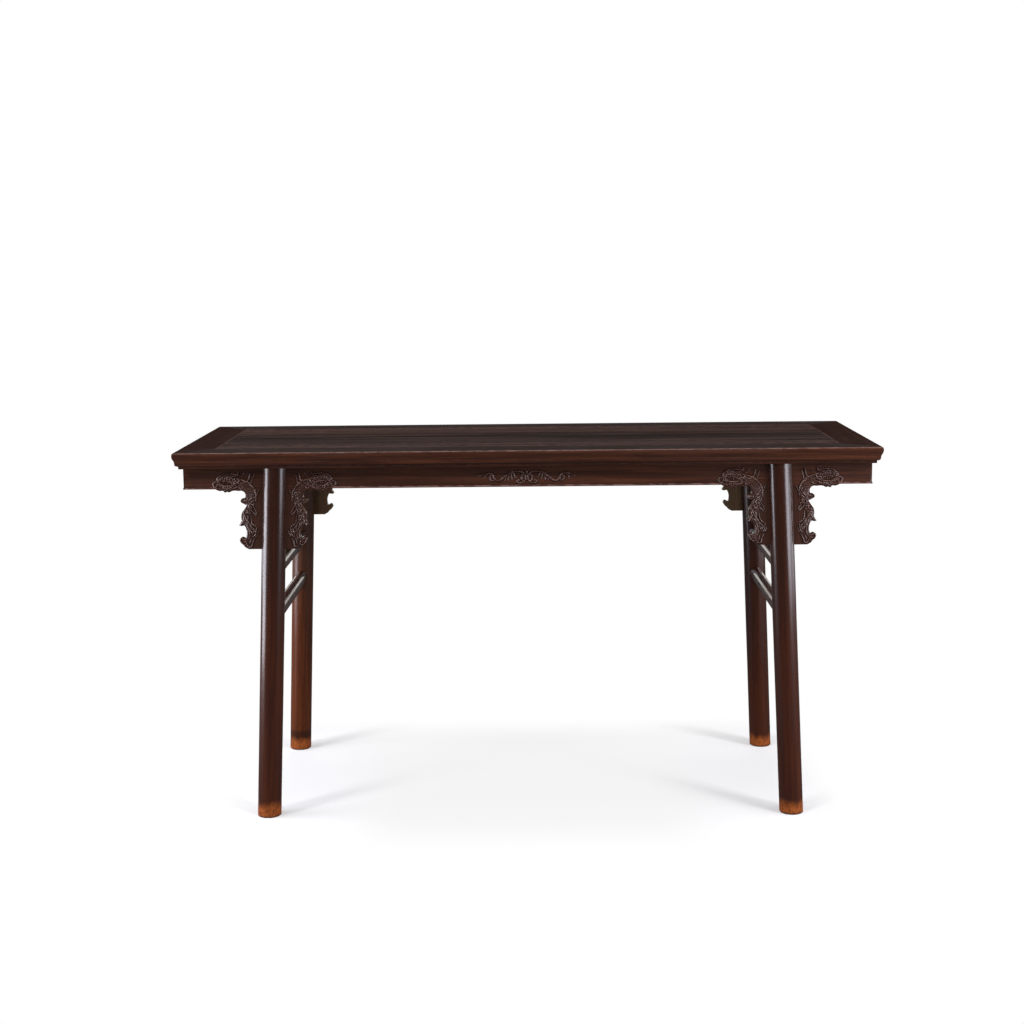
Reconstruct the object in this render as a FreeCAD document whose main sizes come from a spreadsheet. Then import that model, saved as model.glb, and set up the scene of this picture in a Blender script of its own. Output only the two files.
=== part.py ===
import FreeCAD, Part
import os
import re

import Sketcher

# A recessed-leg altar table: a mitred frame with a floating panel stands on four round, splayed legs.
# Each leg is slotted from the top and grips the long apron and a carved-outline spandrel board, and two
# short tenons on its cheeks enter the frame. Two oval stretchers join the legs at each end.
# Lengths are in millimetres. X runs along the table, Y from front to back, Z up from the floor.

SIZES = {
    "table_length": 1530.0,
    "table_depth": 540.0,
    "table_height": 820.0,
    "rail_width": 82.0,
    "rail_thickness": 36.0,
    "lip_inset": 3.0,
    "lip_crown": 6.0,
    "lip_height": 18.0,
    "lip_return": 3.9,
    "cove_step": 1.4,
    "bead_step": 5.1,
    "bead_height": 3.0,
    "fillet_step": 1.2,
    "fillet_height": 6.0,
    "corner_tenon_thickness": 12.0,
    "corner_tenon_margin": 17.0,
    "corner_tenon_stop": 14.0,
    "panel_thickness": 13.0,
    "panel_gap": 0.3,
    "groove_drop": 6.0,
    "groove_depth": 10.0,
    "panel_tongue": 8.5,
    "seam_tongue": 5.0,
    "seam_thickness": 4.0,
    "brace_spacing": 274.0,
    "brace_width": 30.0,
    "brace_height": 20.0,
    "dovetail_height": 4.0,
    "dovetail_neck": 14.0,
    "dovetail_flare": 2.0,
    "brace_tenon_length": 14.0,
    "brace_tenon_thickness": 10.0,
    "brace_tenon_width": 18.0,
    "leg_radius": 26.2,
    "leg_inset_end": 217.0,
    "leg_inset_front": 40.0,
    "splay_end": 36.0,
    "splay_front": 18.0,
    "leg_tenon_length": 20.0,
    "leg_tenon_width": 26.0,
    "cheek_shoulder_share": 0.12,
    "cheek_tenon_share": 0.5,
    "board_thickness": 14.0,
    "apron_height": 47.5,
    "apron_setback": 17.3,
    "apron_bead_height": 3.2,
    "apron_bead_proud": 1.4,
    "edge_tongue_thickness": 5.0,
    "edge_tongue_height": 6.0,
    "edge_tongue_setback": 40.0,
    "spandrel_height": 132.5,
    "spandrel_reach": 74.0,
    "head_reach": 134.0,
    "stretcher_width": 28.0,
    "stretcher_height": 36.0,
    "stretcher_drop": 234.0,
    "stretcher_pitch": 103.0,
    "stretcher_crown_share": 0.82,
    "stretcher_tenon_share": 0.55,
    "stretcher_depth_share": 0.7,
    "fit": 0.15,
    "overrun": 6.0,
}

# Places and sizes that follow from the driving ones.
DERIVED = {
    "half_length": "table_length / 2",
    "half_depth": "table_depth / 2",
    "underside": "(table_height - rail_thickness)",
    "inner_x": "(half_length - rail_width)",
    "inner_y": "(half_depth - rail_width)",
    "leg_x": "(half_length - leg_inset_end)",
    "leg_y": "(half_depth - leg_inset_front)",
    "lean_run": "sqrt(splay_end^2 + splay_front^2)",
    "shaft_length": "sqrt(lean_run^2 + underside^2)",
    "shaft_extra": "(overrun / shaft_length)",
    "splay_x": "(splay_end / underside)",
    "splay_y": "(splay_front / underside)",
    "slot_half": "(board_thickness / 2 + fit)",
    "cheek": "(leg_radius - slot_half)",
    "cheek_near": "(slot_half + cheek * cheek_shoulder_share)",
    "cheek_far": "(cheek_near + cheek * cheek_tenon_share)",
    "apron_half": "(half_length - apron_setback)",
    "board_half": "(board_thickness / 2)",
    "tongue_half": "(edge_tongue_thickness / 2)",
    "tongue_run": "(apron_half - edge_tongue_setback)",
    "drop_full": "(apron_height + spandrel_height)",
    "panel_x": "(inner_x - panel_gap)",
    "panel_y": "(inner_y - panel_gap)",
    "panel_under": "(table_height - panel_thickness)",
    "groove_top": "(table_height - groove_drop)",
    "stretcher_tenon": "(leg_radius - board_half) * stretcher_depth_share",
    # The oval of a stretcher has a small arc above and below, and a larger one on each flank.
    "oval_wide": "(stretcher_width / 2)",
    "oval_tall": "(stretcher_height / 2)",
    "oval_crown": "(oval_wide * stretcher_crown_share)",
    "oval_rise": "(oval_tall - oval_crown)",
    "oval_flank": "((oval_wide^2 + oval_rise^2 - oval_crown^2) / (2 * (oval_wide - oval_crown)))",
    "oval_join_x": "(oval_crown * (oval_flank - oval_wide) / (oval_flank - oval_crown))",
    "oval_join_z": "(oval_rise + oval_crown * oval_rise / (oval_flank - oval_crown))",
}

# One wing of a spandrel, from the chin of the carved head under the apron, round the two open scrolls and
# the claws, to the foot of the board. Each row is the end of one line or arc: its distance out from the
# leg's axis as a share of spandrel_reach, its depth below the apron as a share of spandrel_height, and the
# arc's bulge, which is the rise over half the chord, positive where the arc swells away from the wood.
WING_SHARES = [
    (1.730, 0.000, 0.00),
    (1.590, 0.030, 0.12),
    (1.495, 0.030, -0.15),
    (1.395, 0.036, 0.75),
    (1.270, 0.034, 0.45),
    (1.110, 0.026, -0.12),
    (0.995, 0.026, 0.10),
    (0.876, 0.158, -0.62),
    (0.925, 0.158, 0.00),
    (0.965, 0.222, 0.70),
    (0.804, 0.268, 0.05),
    (0.940, 0.385, -0.06),
    (0.948, 0.522, 0.16),
    (1.005, 0.585, -0.10),
    (0.985, 0.612, 0.80),
    (0.868, 0.604, 0.10),
    (0.835, 0.828, -0.30),
    (0.925, 0.803, 0.10),
    (0.978, 0.872, 0.62),
    (0.885, 0.925, 0.18),
    (0.770, 0.985, 0.22),
    (0.700, 1.000, 0.20),
]

doc = FreeCAD.newDocument("altar_table")
sheet = doc.addObject("Spreadsheet::Sheet", "Sizes")
for row, (alias, value) in enumerate(SIZES.items(), start=1):
    sheet.set(f"A{row}", alias.replace("_", " "))
    sheet.set(f"B{row}", str(value))
    sheet.setAlias(f"B{row}", alias)
doc.recompute()


def full(text):
    """An expression in plain size names, written out with the sheet's cells."""
    def cell(found):
        word = found.group()
        if word in DERIVED:
            return "(" + full(DERIVED[word]) + ")"
        return "Sizes." + word if word in SIZES else word
    return re.sub(r"[a-z_]+", cell, text)


def number(text):
    """The value of an expression, in millimetres."""
    value = sheet.evalExpression(full(text))
    return float(getattr(value, "Value", value))


def bind(thing, **properties):
    """Ties properties to expressions; a double underscore in a name stands for a dot."""
    for name, text in properties.items():
        thing.setExpression(name.replace("__", "."), full(text))
    return thing


def new_body(label):
    body = doc.addObject("PartDesign::Body", label)
    body.Label = label
    return body


def sketch_on(body, name, role, offset="0"):
    """A sketch on one of the body's origin planes, moved along that plane's normal."""
    sketch = body.newObject("Sketcher::SketchObject", name)
    plane = next(item for item in body.Origin.OriginFeatures if item.Role == role)
    sketch.AttachmentSupport = [(plane, "")]
    sketch.MapMode = "FlatFace"
    bind(sketch, AttachmentOffset__Base__z=offset)
    return sketch


def outline(sketch, corners):
    """A closed outline whose corners are held by expressions.

    Each corner is (x, y) for a straight side that leads to it, or (x, y, bulge) for an arc. The bulge is
    the arc's rise over half its chord, positive where an anticlockwise outline swells outwards.
    """
    points = [FreeCAD.Vector(number(c[0]), number(c[1]), 0) for c in corners]
    bulges = [number(str(corner[2])) if len(corner) == 3 else 0 for corner in corners]
    count = len(corners)
    first = sketch.GeometryCount
    rules = []
    sides = []
    ends = []
    for i, bulge in enumerate(bulges):
        start, end = points[i - 1], points[i]
        chord = end - start
        middle = (start + end) / 2 + FreeCAD.Vector(chord.y, -chord.x, 0) * (bulge / 2)
        # A sketch keeps its arcs anticlockwise, so a hollow one runs from the outline's end to its start.
        if bulge > 0:
            sides.append(Part.Arc(start, middle, end))
        elif bulge < 0:
            sides.append(Part.Arc(end, middle, start))
        else:
            sides.append(Part.LineSegment(start, end))
        ends.append((2, 1) if bulge < 0 else (1, 2))
    sketch.addGeometry(sides, False)
    for i, corner in enumerate(corners):
        after = (i + 1) % count
        here = first + i
        rules.append(("", Sketcher.Constraint("Coincident", here, ends[i][1], first + after, ends[after][0])))
        for kind, text, value in (("DistanceX", corner[0], points[i].x), ("DistanceY", corner[1], points[i].y)):
            rules.append((text, Sketcher.Constraint(kind, -1, 1, here, ends[i][1], value)))
        if bulges[i]:
            before = corners[i - 1]
            chord = f"sqrt(({corner[0]} - ({before[0]}))^2 + ({corner[1]} - ({before[1]}))^2)"
            text = f"{chord} * (1 + ({corner[2]})^2) / (4 * abs({corner[2]}))"
            rules.append((text, Sketcher.Constraint("Radius", here, number(text))))
    base = sketch.ConstraintCount
    sketch.addConstraint([rule for _, rule in rules])
    for i, (text, _) in enumerate(rules):
        if text:
            sketch.setExpression(f"Constraints[{base + i}]", full(text))
    return sketch


def rectangle(sketch, x_low, x_high, y_low, y_high):
    return outline(sketch, [(x_low, y_low), (x_high, y_low), (x_high, y_high), (x_low, y_high)])


def circle(sketch, x, y, radius):
    index = sketch.addGeometry(Part.Circle(FreeCAD.Vector(number(x), number(y), 0),
                                           FreeCAD.Vector(0, 0, 1), number(radius)), False)
    for kind, text in (("DistanceX", x), ("DistanceY", y)):
        rule = sketch.addConstraint(Sketcher.Constraint(kind, -1, 1, index, 3, number(text)))
        sketch.setExpression(f"Constraints[{rule}]", full(text))
    rule = sketch.addConstraint(Sketcher.Constraint("Radius", index, number(radius)))
    sketch.setExpression(f"Constraints[{rule}]", full(radius))
    return sketch


def extrude(body, kind, sketch, length, midplane=False, against=False, direction=None):
    """A Pad or Pocket of the sketch; direction gives a slanted run as three expressions."""
    feature = body.newObject("PartDesign::" + kind, f"{kind.lower()}_{sketch.Name}")
    feature.Profile = sketch
    feature.Midplane = midplane
    feature.Reversed = against
    bind(feature, Length=length)
    if direction:
        feature.UseCustomVector = True
        bind(feature, Direction__x=direction[0], Direction__y=direction[1], Direction__z=direction[2])
    sketch.Visibility = False
    return feature


def pad(body, sketch, length, **options):
    return extrude(body, "Pad", sketch, length, **options)


def pocket(body, sketch, length, **options):
    """A Pocket that must take wood away."""
    doc.recompute()
    before = body.Shape.Volume
    feature = extrude(body, "Pocket", sketch, length, **options)
    doc.recompute()
    if body.Shape.Volume > before - number("fit") ** 3:
        raise RuntimeError(f"{feature.Name} cuts nothing from {body.Label}")
    return feature


def mirrored(source, label, x=0, y=0):
    """The same piece on the other side of the table's middle."""
    copy = doc.addObject("Part::Mirroring", label)
    copy.Label = label
    copy.Source = source
    copy.Normal = FreeCAD.Vector(x, y, 0)
    return copy


def moulding(outer, sign):
    """Corners of a rail's section, from the top edge down the moulded outer edge to the panel groove.

    outer is the expression of the outermost place, and sign the way from there into the rail.
    """
    def at(inset):
        return f"{outer} {sign} ({inset})"
    swell = 1 if sign == "+" else -1
    base = "(lip_return + cove_step + bead_step + fillet_step)"
    return [
        (at("lip_inset"), "table_height"),
        (at("0"), "table_height - lip_crown", 0.235 * swell),
        (at("lip_return"), "table_height - lip_height", 0.16 * swell),
        (at("lip_return + cove_step"), "underside + fillet_height + bead_height", -0.14 * swell),
        (at("lip_return + cove_step + bead_step"), "underside + fillet_height", 0.30 * swell),
        (at(base), "underside + fillet_height"),
        (at(base), "underside"),
        (at("rail_width"), "underside"),
        (at("rail_width"), "panel_under - fit"),
        (at("rail_width - groove_depth"), "panel_under - fit"),
        (at("rail_width - groove_depth"), "groove_top + fit"),
        (at("rail_width"), "groove_top + fit"),
        (at("rail_width"), "table_height"),
    ]


def corner_cut(x_outer, y_outer, x_inner, y_inner, x_far, y_far):
    """A triangle that runs a little past both ends of a mitre line."""
    return [
        (f"{x_outer} + overrun", f"{y_outer} - overrun"),
        (f"{x_inner} - overrun", f"{y_inner} + overrun"),
        (x_far, y_far),
    ]


def long_rail():
    """The front rail of the top: moulded outside, grooved inside, mitred, with a tenon at each end."""
    body = new_body("top_rail_front")
    section = outline(sketch_on(body, "front_section", "YZ_Plane"), moulding("-half_depth", "+"))
    pad(body, section, "table_length", midplane=True)
    for side, x in (("left", "-1"), ("right", "1")):
        cut = sketch_on(body, f"front_mitre_{side}", "XY_Plane", "table_height + overrun")
        outline(cut, [
            (f"{x} * (half_length + overrun)", "-half_depth - overrun"),
            (f"{x} * (inner_x - overrun)", "-inner_y + overrun"),
            (f"{x} * (half_length + overrun)", "-inner_y + overrun"),
        ])
        pocket(body, cut, "rail_thickness + 2 * overrun")
    middle = "table_height - rail_thickness / 2 - corner_tenon_thickness / 2"
    for side, x in (("left", "-1"), ("right", "1")):
        tenon = sketch_on(body, f"front_tenon_{side}", "XY_Plane", middle)
        rectangle(tenon, f"{x} * inner_x", f"{x} * (half_length - corner_tenon_stop)",
                  "-half_depth + corner_tenon_margin", "-inner_y - corner_tenon_margin")
        pad(body, tenon, "corner_tenon_thickness")
    holes = sketch_on(body, "front_leg_mortises", "XY_Plane", "underside")
    for x in ("-1", "1"):
        for y in ("-1", "1"):
            rectangle(holes, f"{x} * leg_x - leg_tenon_width / 2 - fit", f"{x} * leg_x + leg_tenon_width / 2 + fit",
                      f"-leg_y + {y} * cheek_near - {y} * fit", f"-leg_y + {y} * cheek_far + {y} * fit")
    pocket(body, holes, "leg_tenon_length + fit", against=True)
    groove = sketch_on(body, "front_apron_groove", "XY_Plane", "underside")
    rectangle(groove, "-tongue_run - fit", "tongue_run + fit",
              "-leg_y - tongue_half - fit", "-leg_y + tongue_half + fit")
    pocket(body, groove, "edge_tongue_height + fit", direction=("0", "splay_y", "1"))
    sockets = sketch_on(body, "front_brace_mortises", "XZ_Plane", "inner_y")
    for place in BRACES:
        rectangle(sockets, f"{place} * brace_spacing - brace_tenon_width / 2 - fit",
                  f"{place} * brace_spacing + brace_tenon_width / 2 + fit",
                  f"{BRACE_MIDDLE} - brace_tenon_thickness / 2 - fit",
                  f"{BRACE_MIDDLE} + brace_tenon_thickness / 2 + fit")
    pocket(body, sockets, "brace_tenon_length + fit", against=True)
    return body


def end_rail():
    """The right-hand end rail: the same section, mitred the other way and mortised for the tenons."""
    body = new_body("top_rail_right")
    section = outline(sketch_on(body, "end_section", "XZ_Plane"), moulding("half_length", "-"))
    pad(body, section, "table_depth", midplane=True)
    middle = "table_height - rail_thickness / 2 - corner_tenon_thickness / 2"
    for side, y in (("front", "-1"), ("rear", "1")):
        cut = sketch_on(body, f"end_mitre_{side}", "XY_Plane", "table_height + overrun")
        outline(cut, [
            ("half_length + overrun", f"{y} * (half_depth + overrun)"),
            ("inner_x - overrun", f"{y} * (inner_y - overrun)"),
            ("inner_x - overrun", f"{y} * (half_depth + overrun)"),
        ])
        pocket(body, cut, "rail_thickness + 2 * overrun")
        hole = sketch_on(body, f"end_mortise_{side}", "XY_Plane", f"{middle} - fit")
        rectangle(hole, "inner_x - overrun", "half_length - corner_tenon_stop + fit",
                  f"{y} * (half_depth - corner_tenon_margin + fit)", f"{y} * (inner_y + corner_tenon_margin - fit)")
        pocket(body, hole, "corner_tenon_thickness + 2 * fit", against=True)
    groove = sketch_on(body, "end_apron_groove", "XY_Plane", "underside")
    rectangle(groove, "apron_half - board_half - tongue_half - fit", "apron_half - board_half + tongue_half + fit",
              "-leg_y + edge_tongue_setback - fit", "leg_y - edge_tongue_setback + fit")
    pocket(body, groove, "edge_tongue_height + fit", against=True)
    return body


BRACES = ("-1.5", "-0.5", "0.5", "1.5")
BRACE_MIDDLE = "panel_under - brace_height / 2"


def panel_board(label, sign):
    """Half of the floating panel: tongued into the frame, keyed to its twin and housed for the braces."""
    body = new_body(label)
    side = "front" if sign == "-1" else "rear"
    low, high = ("-panel_y", "0") if sign == "-1" else ("0", "panel_y")
    field = sketch_on(body, f"{side}_field", "XY_Plane", "panel_under")
    rectangle(field, "-panel_x", "panel_x", low, high)
    pad(body, field, "panel_thickness")
    tongue = sketch_on(body, f"{side}_tongue", "XY_Plane", "panel_under")
    reach = "panel_tongue"
    rectangle(tongue, f"-inner_x - {reach}", f"inner_x + {reach}",
              *((f"-inner_y - {reach}", "0") if sign == "-1" else ("0", f"inner_y + {reach}")))
    pad(body, tongue, "panel_thickness - groove_drop")
    level = "panel_under + panel_thickness / 2 - seam_thickness / 2"
    if sign == "-1":
        key = sketch_on(body, "seam_groove", "XY_Plane", f"{level} - fit")
        rectangle(key, "-half_length", "half_length", "-seam_tongue - fit", "overrun")
        pocket(body, key, "seam_thickness + 2 * fit", against=True)
    else:
        key = sketch_on(body, "seam_key", "XY_Plane", level)
        rectangle(key, "-panel_x", "panel_x", "-seam_tongue", "seam_tongue")
        pad(body, key, "seam_thickness")
    housing = sketch_on(body, f"{side}_housings", "XZ_Plane")
    for place in BRACES:
        outline(housing, dovetail(place, "fit"))
    pocket(body, housing, "table_depth", midplane=True)
    return body


def dovetail(place, slack):
    """The section of a brace's sliding dovetail key, which runs a little below the panel."""
    middle = f"{place} * brace_spacing"
    neck = f"(dovetail_neck / 2 + {slack})"
    head = f"(dovetail_neck / 2 + dovetail_flare + {slack})"
    foot = "panel_under - overrun / 2" if slack == "fit" else "panel_under - brace_height / 2"
    top = f"panel_under + dovetail_height + {slack}"
    return [
        (f"{middle} - {neck}", foot),
        (f"{middle} + {neck}", foot),
        (f"{middle} + {neck}", "panel_under"),
        (f"{middle} + {head}", top),
        (f"{middle} - {head}", top),
        (f"{middle} - {neck}", "panel_under"),
    ]


def brace(label, place):
    """A cross brace under the panel, with a dovetail key on top and a tenon at each end."""
    body = new_body(label)
    bar = sketch_on(body, f"{label}_bar", "XZ_Plane")
    rectangle(bar, f"{place} * brace_spacing - brace_width / 2", f"{place} * brace_spacing + brace_width / 2",
              "panel_under - brace_height", "panel_under")
    pad(body, bar, "2 * inner_y", midplane=True)
    key = sketch_on(body, f"{label}_key", "XZ_Plane")
    outline(key, dovetail(place, "0"))
    pad(body, key, "2 * inner_y", midplane=True)
    tenon = sketch_on(body, f"{label}_tenon", "XZ_Plane")
    rectangle(tenon, f"{place} * brace_spacing - brace_tenon_width / 2",
              f"{place} * brace_spacing + brace_tenon_width / 2",
              f"{BRACE_MIDDLE} - brace_tenon_thickness / 2", f"{BRACE_MIDDLE} + brace_tenon_thickness / 2")
    pad(body, tenon, "2 * (inner_y + brace_tenon_length)", midplane=True)
    return body


def leg_axis_x(height):
    """Where the left legs' axis stands at a height above the floor."""
    return f"(-leg_x - splay_x * (underside - ({height})))"


def leg_axis_y(height):
    """Where the front legs' axis stands at a height above the floor."""
    return f"(-leg_y - splay_y * (underside - ({height})))"


def box(label, length, width, height, x, y, z):
    """A block from its corner; each size and place is an expression."""
    block = doc.addObject("Part::Box", label)
    return bind(block, Length=length, Width=width, Height=height,
                Placement__Base__x=x, Placement__Base__y=y, Placement__Base__z=z)


def join(kind, label, base, tool):
    """A Part::Cut, Part::Fuse or Part::Common of two objects, or of one with several."""
    if isinstance(tool, list):
        group = doc.addObject("Part::Compound", f"{label}_tools")
        group.Links = tool
        tool = group
    result = doc.addObject("Part::" + kind, label)
    result.Label = label
    result.Base = base
    result.Tool = tool
    return result


def leg_shaft():
    """The plain round shaft of the front left leg along its leaning axis, a little long at both ends."""
    shaft = doc.addObject("Part::Cylinder", "leg_shaft")
    shaft.Placement.Rotation = FreeCAD.Rotation(FreeCAD.Vector(-1, 1, 0), 1)
    return bind(shaft, Radius="leg_radius",
                Height="shaft_length * (1 + 2 * shaft_extra)",
                Placement__Base__x="-leg_x - splay_end * (1 + shaft_extra)",
                Placement__Base__y="-leg_y - splay_front * (1 + shaft_extra)",
                Placement__Base__z="-underside * shaft_extra",
                Placement__Rotation__Axis__x="-splay_front / lean_run",
                Placement__Rotation__Axis__y="splay_end / lean_run",
                Placement__Rotation__Angle="atan(lean_run / underside)")


def leg(shaft):
    """The front left leg: slotted for the boards, tenoned above, mortised inside for the stretchers."""
    # The slab trims the shaft level at the floor and at the frame.
    slab = box("leg_slab", "half_length", "half_depth", "underside", "-half_length", "-half_depth - leg_radius", "0")
    post = join("Common", "leg_post", shaft, slab)
    slot = box("leg_slot", "4 * leg_radius", "2 * slot_half", "drop_full + fit + overrun",
               "-leg_x - 2 * leg_radius", "-leg_y", "underside")
    slot.Placement.Rotation = FreeCAD.Rotation(FreeCAD.Vector(1, 0, 0), 1)
    bind(slot, Placement__Rotation__Angle="-atan(splay_y)",
         Placement__Base__y="-leg_y - slot_half * cos(atan(splay_y)) - (drop_full + fit) * sin(atan(splay_y))",
         Placement__Base__z="underside + slot_half * sin(atan(splay_y)) - (drop_full + fit) * cos(atan(splay_y))")
    cuts = [slot]
    for name, height in STRETCHERS.items():
        depth = f"(-{leg_axis_y(height)} - leg_radius + stretcher_tenon + fit)"
        cuts.append(box(f"leg_mortise_{name}", f"2 * ({TENON_X} + fit)", depth, f"2 * ({TENON_Z} + fit)",
                        f"{leg_axis_x(height)} - {TENON_X} - fit", f"-{depth}", f"{height} - {TENON_Z} - fit"))
    tenons = [box(f"leg_tenon_{name}", "leg_tenon_width", "cheek_far - cheek_near",
                  "leg_tenon_length + overrun", "-leg_x - leg_tenon_width / 2", y, "underside - overrun")
              for name, y in (("front", "-leg_y - cheek_far"), ("rear", "-leg_y + cheek_near"))]
    return join("Fuse", "leg_front_left", join("Cut", "leg_slotted", post, cuts), tenons)


STRETCHERS = {
    "upper": "(underside - stretcher_drop)",
    "lower": "(underside - stretcher_drop - stretcher_pitch)",
}
TENON_X = "stretcher_width / 2 * stretcher_tenon_share"
TENON_Z = "stretcher_height / 2 * stretcher_tenon_share"


def stretcher(name, height, envelope):
    """An oval rail between the two left legs, its shoulders scribed round them, with a tenon each end."""
    bar = new_body(f"bar_{name}")
    x = leg_axis_x(height)
    crown = ("oval_join_x", "oval_join_z", "(oval_tall - oval_join_z) / oval_join_x")
    flank = ("oval_join_x", "oval_join_z", "(oval_wide - oval_join_x) / oval_join_z")
    oval = outline(sketch_on(bar, f"oval_{name}", "XZ_Plane"), [
        (f"{x} + {flank[0]}", f"{height} + {flank[1]}", flank[2]),
        (f"{x} - {crown[0]}", f"{height} + {crown[1]}", crown[2]),
        (f"{x} - {flank[0]}", f"{height} - {flank[1]}", flank[2]),
        (f"{x} + {crown[0]}", f"{height} - {crown[1]}", crown[2]),
    ])
    pad(bar, oval, f"-2 * {leg_axis_y(height)}", midplane=True)
    reach = f"(-{leg_axis_y(height)} - leg_radius + stretcher_tenon)"
    tenon = box(f"tenon_{name}", f"2 * {TENON_X}", f"2 * {reach}", f"2 * {TENON_Z}",
                f"{leg_axis_x(height)} - {TENON_X}", f"-{reach}", f"{height} - {TENON_Z}")
    return join("Fuse", f"stretcher_{name}_left", join("Cut", f"scribed_{name}", bar, envelope), tenon)


def lean(body):
    """Stands a board in the front legs' slots, leaning with them; its own Z runs up the board."""
    body.Placement.Rotation = FreeCAD.Rotation(FreeCAD.Vector(1, 0, 0), 1)
    bind(body, Placement__Rotation__Angle="-atan(splay_y)", Placement__Base__y="-leg_y",
         Placement__Base__z="underside")
    return body


def apron():
    """The long front apron: tongued to the frame, beaded below, mitred, grooved under each head."""
    body = lean(new_body("apron_front"))
    section = sketch_on(body, "apron_section", "YZ_Plane")
    outline(section, [
        ("-board_half", "-apron_height"),
        ("board_half", "-apron_height"),
        ("board_half", "board_half * splay_y"),
        ("-board_half", "-board_half * splay_y"),
    ])
    pad(body, section, "2 * apron_half", midplane=True)
    head_left = "(-leg_x - head_reach - splay_x * apron_height)"
    head_right = "(-leg_x + head_reach - splay_x * apron_height)"
    runs = {
        "left": ("-apron_half - overrun", head_left),
        "middle": (head_right, f"-{head_right}"),
        "right": (f"-{head_left}", "apron_half + overrun"),
    }
    for name, (start, end) in runs.items():
        bead = sketch_on(body, f"apron_bead_{name}", "YZ_Plane", start)
        outline(bead, [
            ("-board_half + apron_bead_proud", "-apron_height"),
            ("-board_half + apron_bead_proud", "-apron_height + apron_bead_height"),
            ("-board_half", "-apron_height + apron_bead_height"),
            ("-board_half", "-apron_height", -0.85),
        ])
        pad(body, bead, f"{end} - ({start})")
    for side, x in (("left", "-1"), ("right", "1")):
        cut = sketch_on(body, f"apron_mitre_{side}", "XY_Plane", "overrun")
        outline(cut, [
            (f"{x} * (apron_half + overrun)", "-board_half - overrun"),
            (f"{x} * (apron_half - board_thickness - overrun)", "board_half + overrun"),
            (f"{x} * (apron_half + 3 * overrun)", "board_half + overrun"),
            (f"{x} * (apron_half + 3 * overrun)", "-board_half - overrun"),
        ])
        pocket(body, cut, "apron_height + 2 * overrun")
    tongue = sketch_on(body, "apron_tongue", "YZ_Plane")
    rectangle(tongue, "-tongue_half", "tongue_half", "-edge_tongue_height", "edge_tongue_height")
    pad(body, tongue, "2 * tongue_run", midplane=True)
    groove = sketch_on(body, "apron_groove", "XY_Plane", "-apron_height")
    for x in ("-1", "1"):
        middle = f"{x} * (leg_x + splay_x * apron_height)"
        rectangle(groove, f"{middle} - {TONGUE_HALF} - fit", f"{middle} + {TONGUE_HALF} + fit",
                  "-tongue_half - fit", "tongue_half + fit")
    pocket(body, groove, "edge_tongue_height + fit", against=True)
    return body


TONGUE_HALF = "(head_reach - edge_tongue_setback)"


def end_apron():
    """The short apron at the right-hand end, mitred between the two leaning long ones."""
    body = new_body("apron_right")
    section = sketch_on(body, "end_apron_section", "XZ_Plane")
    outline(section, [
        ("apron_half - board_thickness", "underside - apron_height"),
        ("apron_half", "underside - apron_height"),
        ("apron_half", "underside - apron_height + apron_bead_height", 0.85),
        ("apron_half", "underside"),
        ("apron_half - board_thickness", "underside"),
    ])
    pad(body, section, "table_depth", midplane=True)
    half = "board_half / cos(atan(splay_y))"
    for side, y in (("front", "-1"), ("rear", "1")):
        cut = sketch_on(body, f"end_apron_mitre_{side}", "XY_Plane", "underside")
        slope = f"(2 * {half} / board_thickness)"
        outline(cut, [
            ("apron_half + overrun", f"{y} * (leg_y + {half} + overrun * {slope})"),
            ("apron_half - board_thickness - overrun", f"{y} * (leg_y - {half} - overrun * {slope})"),
            ("apron_half - board_thickness - overrun", f"{y} * table_depth"),
            ("apron_half + overrun", f"{y} * table_depth"),
        ])
        pocket(body, cut, "apron_height + overrun", direction=("0", f"{y} * splay_y", "-1"))
    tongue = sketch_on(body, "end_apron_tongue", "XZ_Plane")
    rectangle(tongue, "apron_half - board_half - tongue_half", "apron_half - board_half + tongue_half",
              "underside - edge_tongue_height", "underside + edge_tongue_height")
    pad(body, tongue, "2 * (leg_y - edge_tongue_setback)", midplane=True)
    return body


def wing_corners(side):
    """A wing's corners in the board's own frame; side is -1 away from the table's middle, 1 towards it."""
    corners = []
    for out, down, bulge in WING_SHARES:
        # The wings mirror each other about the leg's axis, which leans outwards.
        z = f"(-apron_height - spandrel_height * {down})"
        corners.append((f"{side} * spandrel_reach * {out} + splay_x * {z}", z, bulge))
    return corners


def spandrel():
    """The front left spandrel: one board through the leg's slot, with a carved-outline wing on each side."""
    body = lean(new_body("spandrel_front_left"))
    bind(body, Placement__Base__x="-leg_x")
    face = sketch_on(body, "spandrel_outline", "XZ_Plane")
    corners = wing_corners(-1)
    inner = wing_corners(1)
    corners.append(inner[-1][:2])
    corners += [(*start[:2], end[2]) for start, end in reversed(list(zip(inner, inner[1:])))]
    outline(face, corners)
    pad(body, face, "board_thickness", midplane=True)
    tongue = sketch_on(body, "spandrel_tongue", "XZ_Plane")
    middle = "(-splay_x * apron_height)"
    rectangle(tongue, f"{middle} - {TONGUE_HALF}", f"{middle} + {TONGUE_HALF}",
              "-apron_height - edge_tongue_height / 2", "-apron_height + edge_tongue_height")
    pad(body, tongue, "edge_tongue_thickness", midplane=True)
    return body


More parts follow.
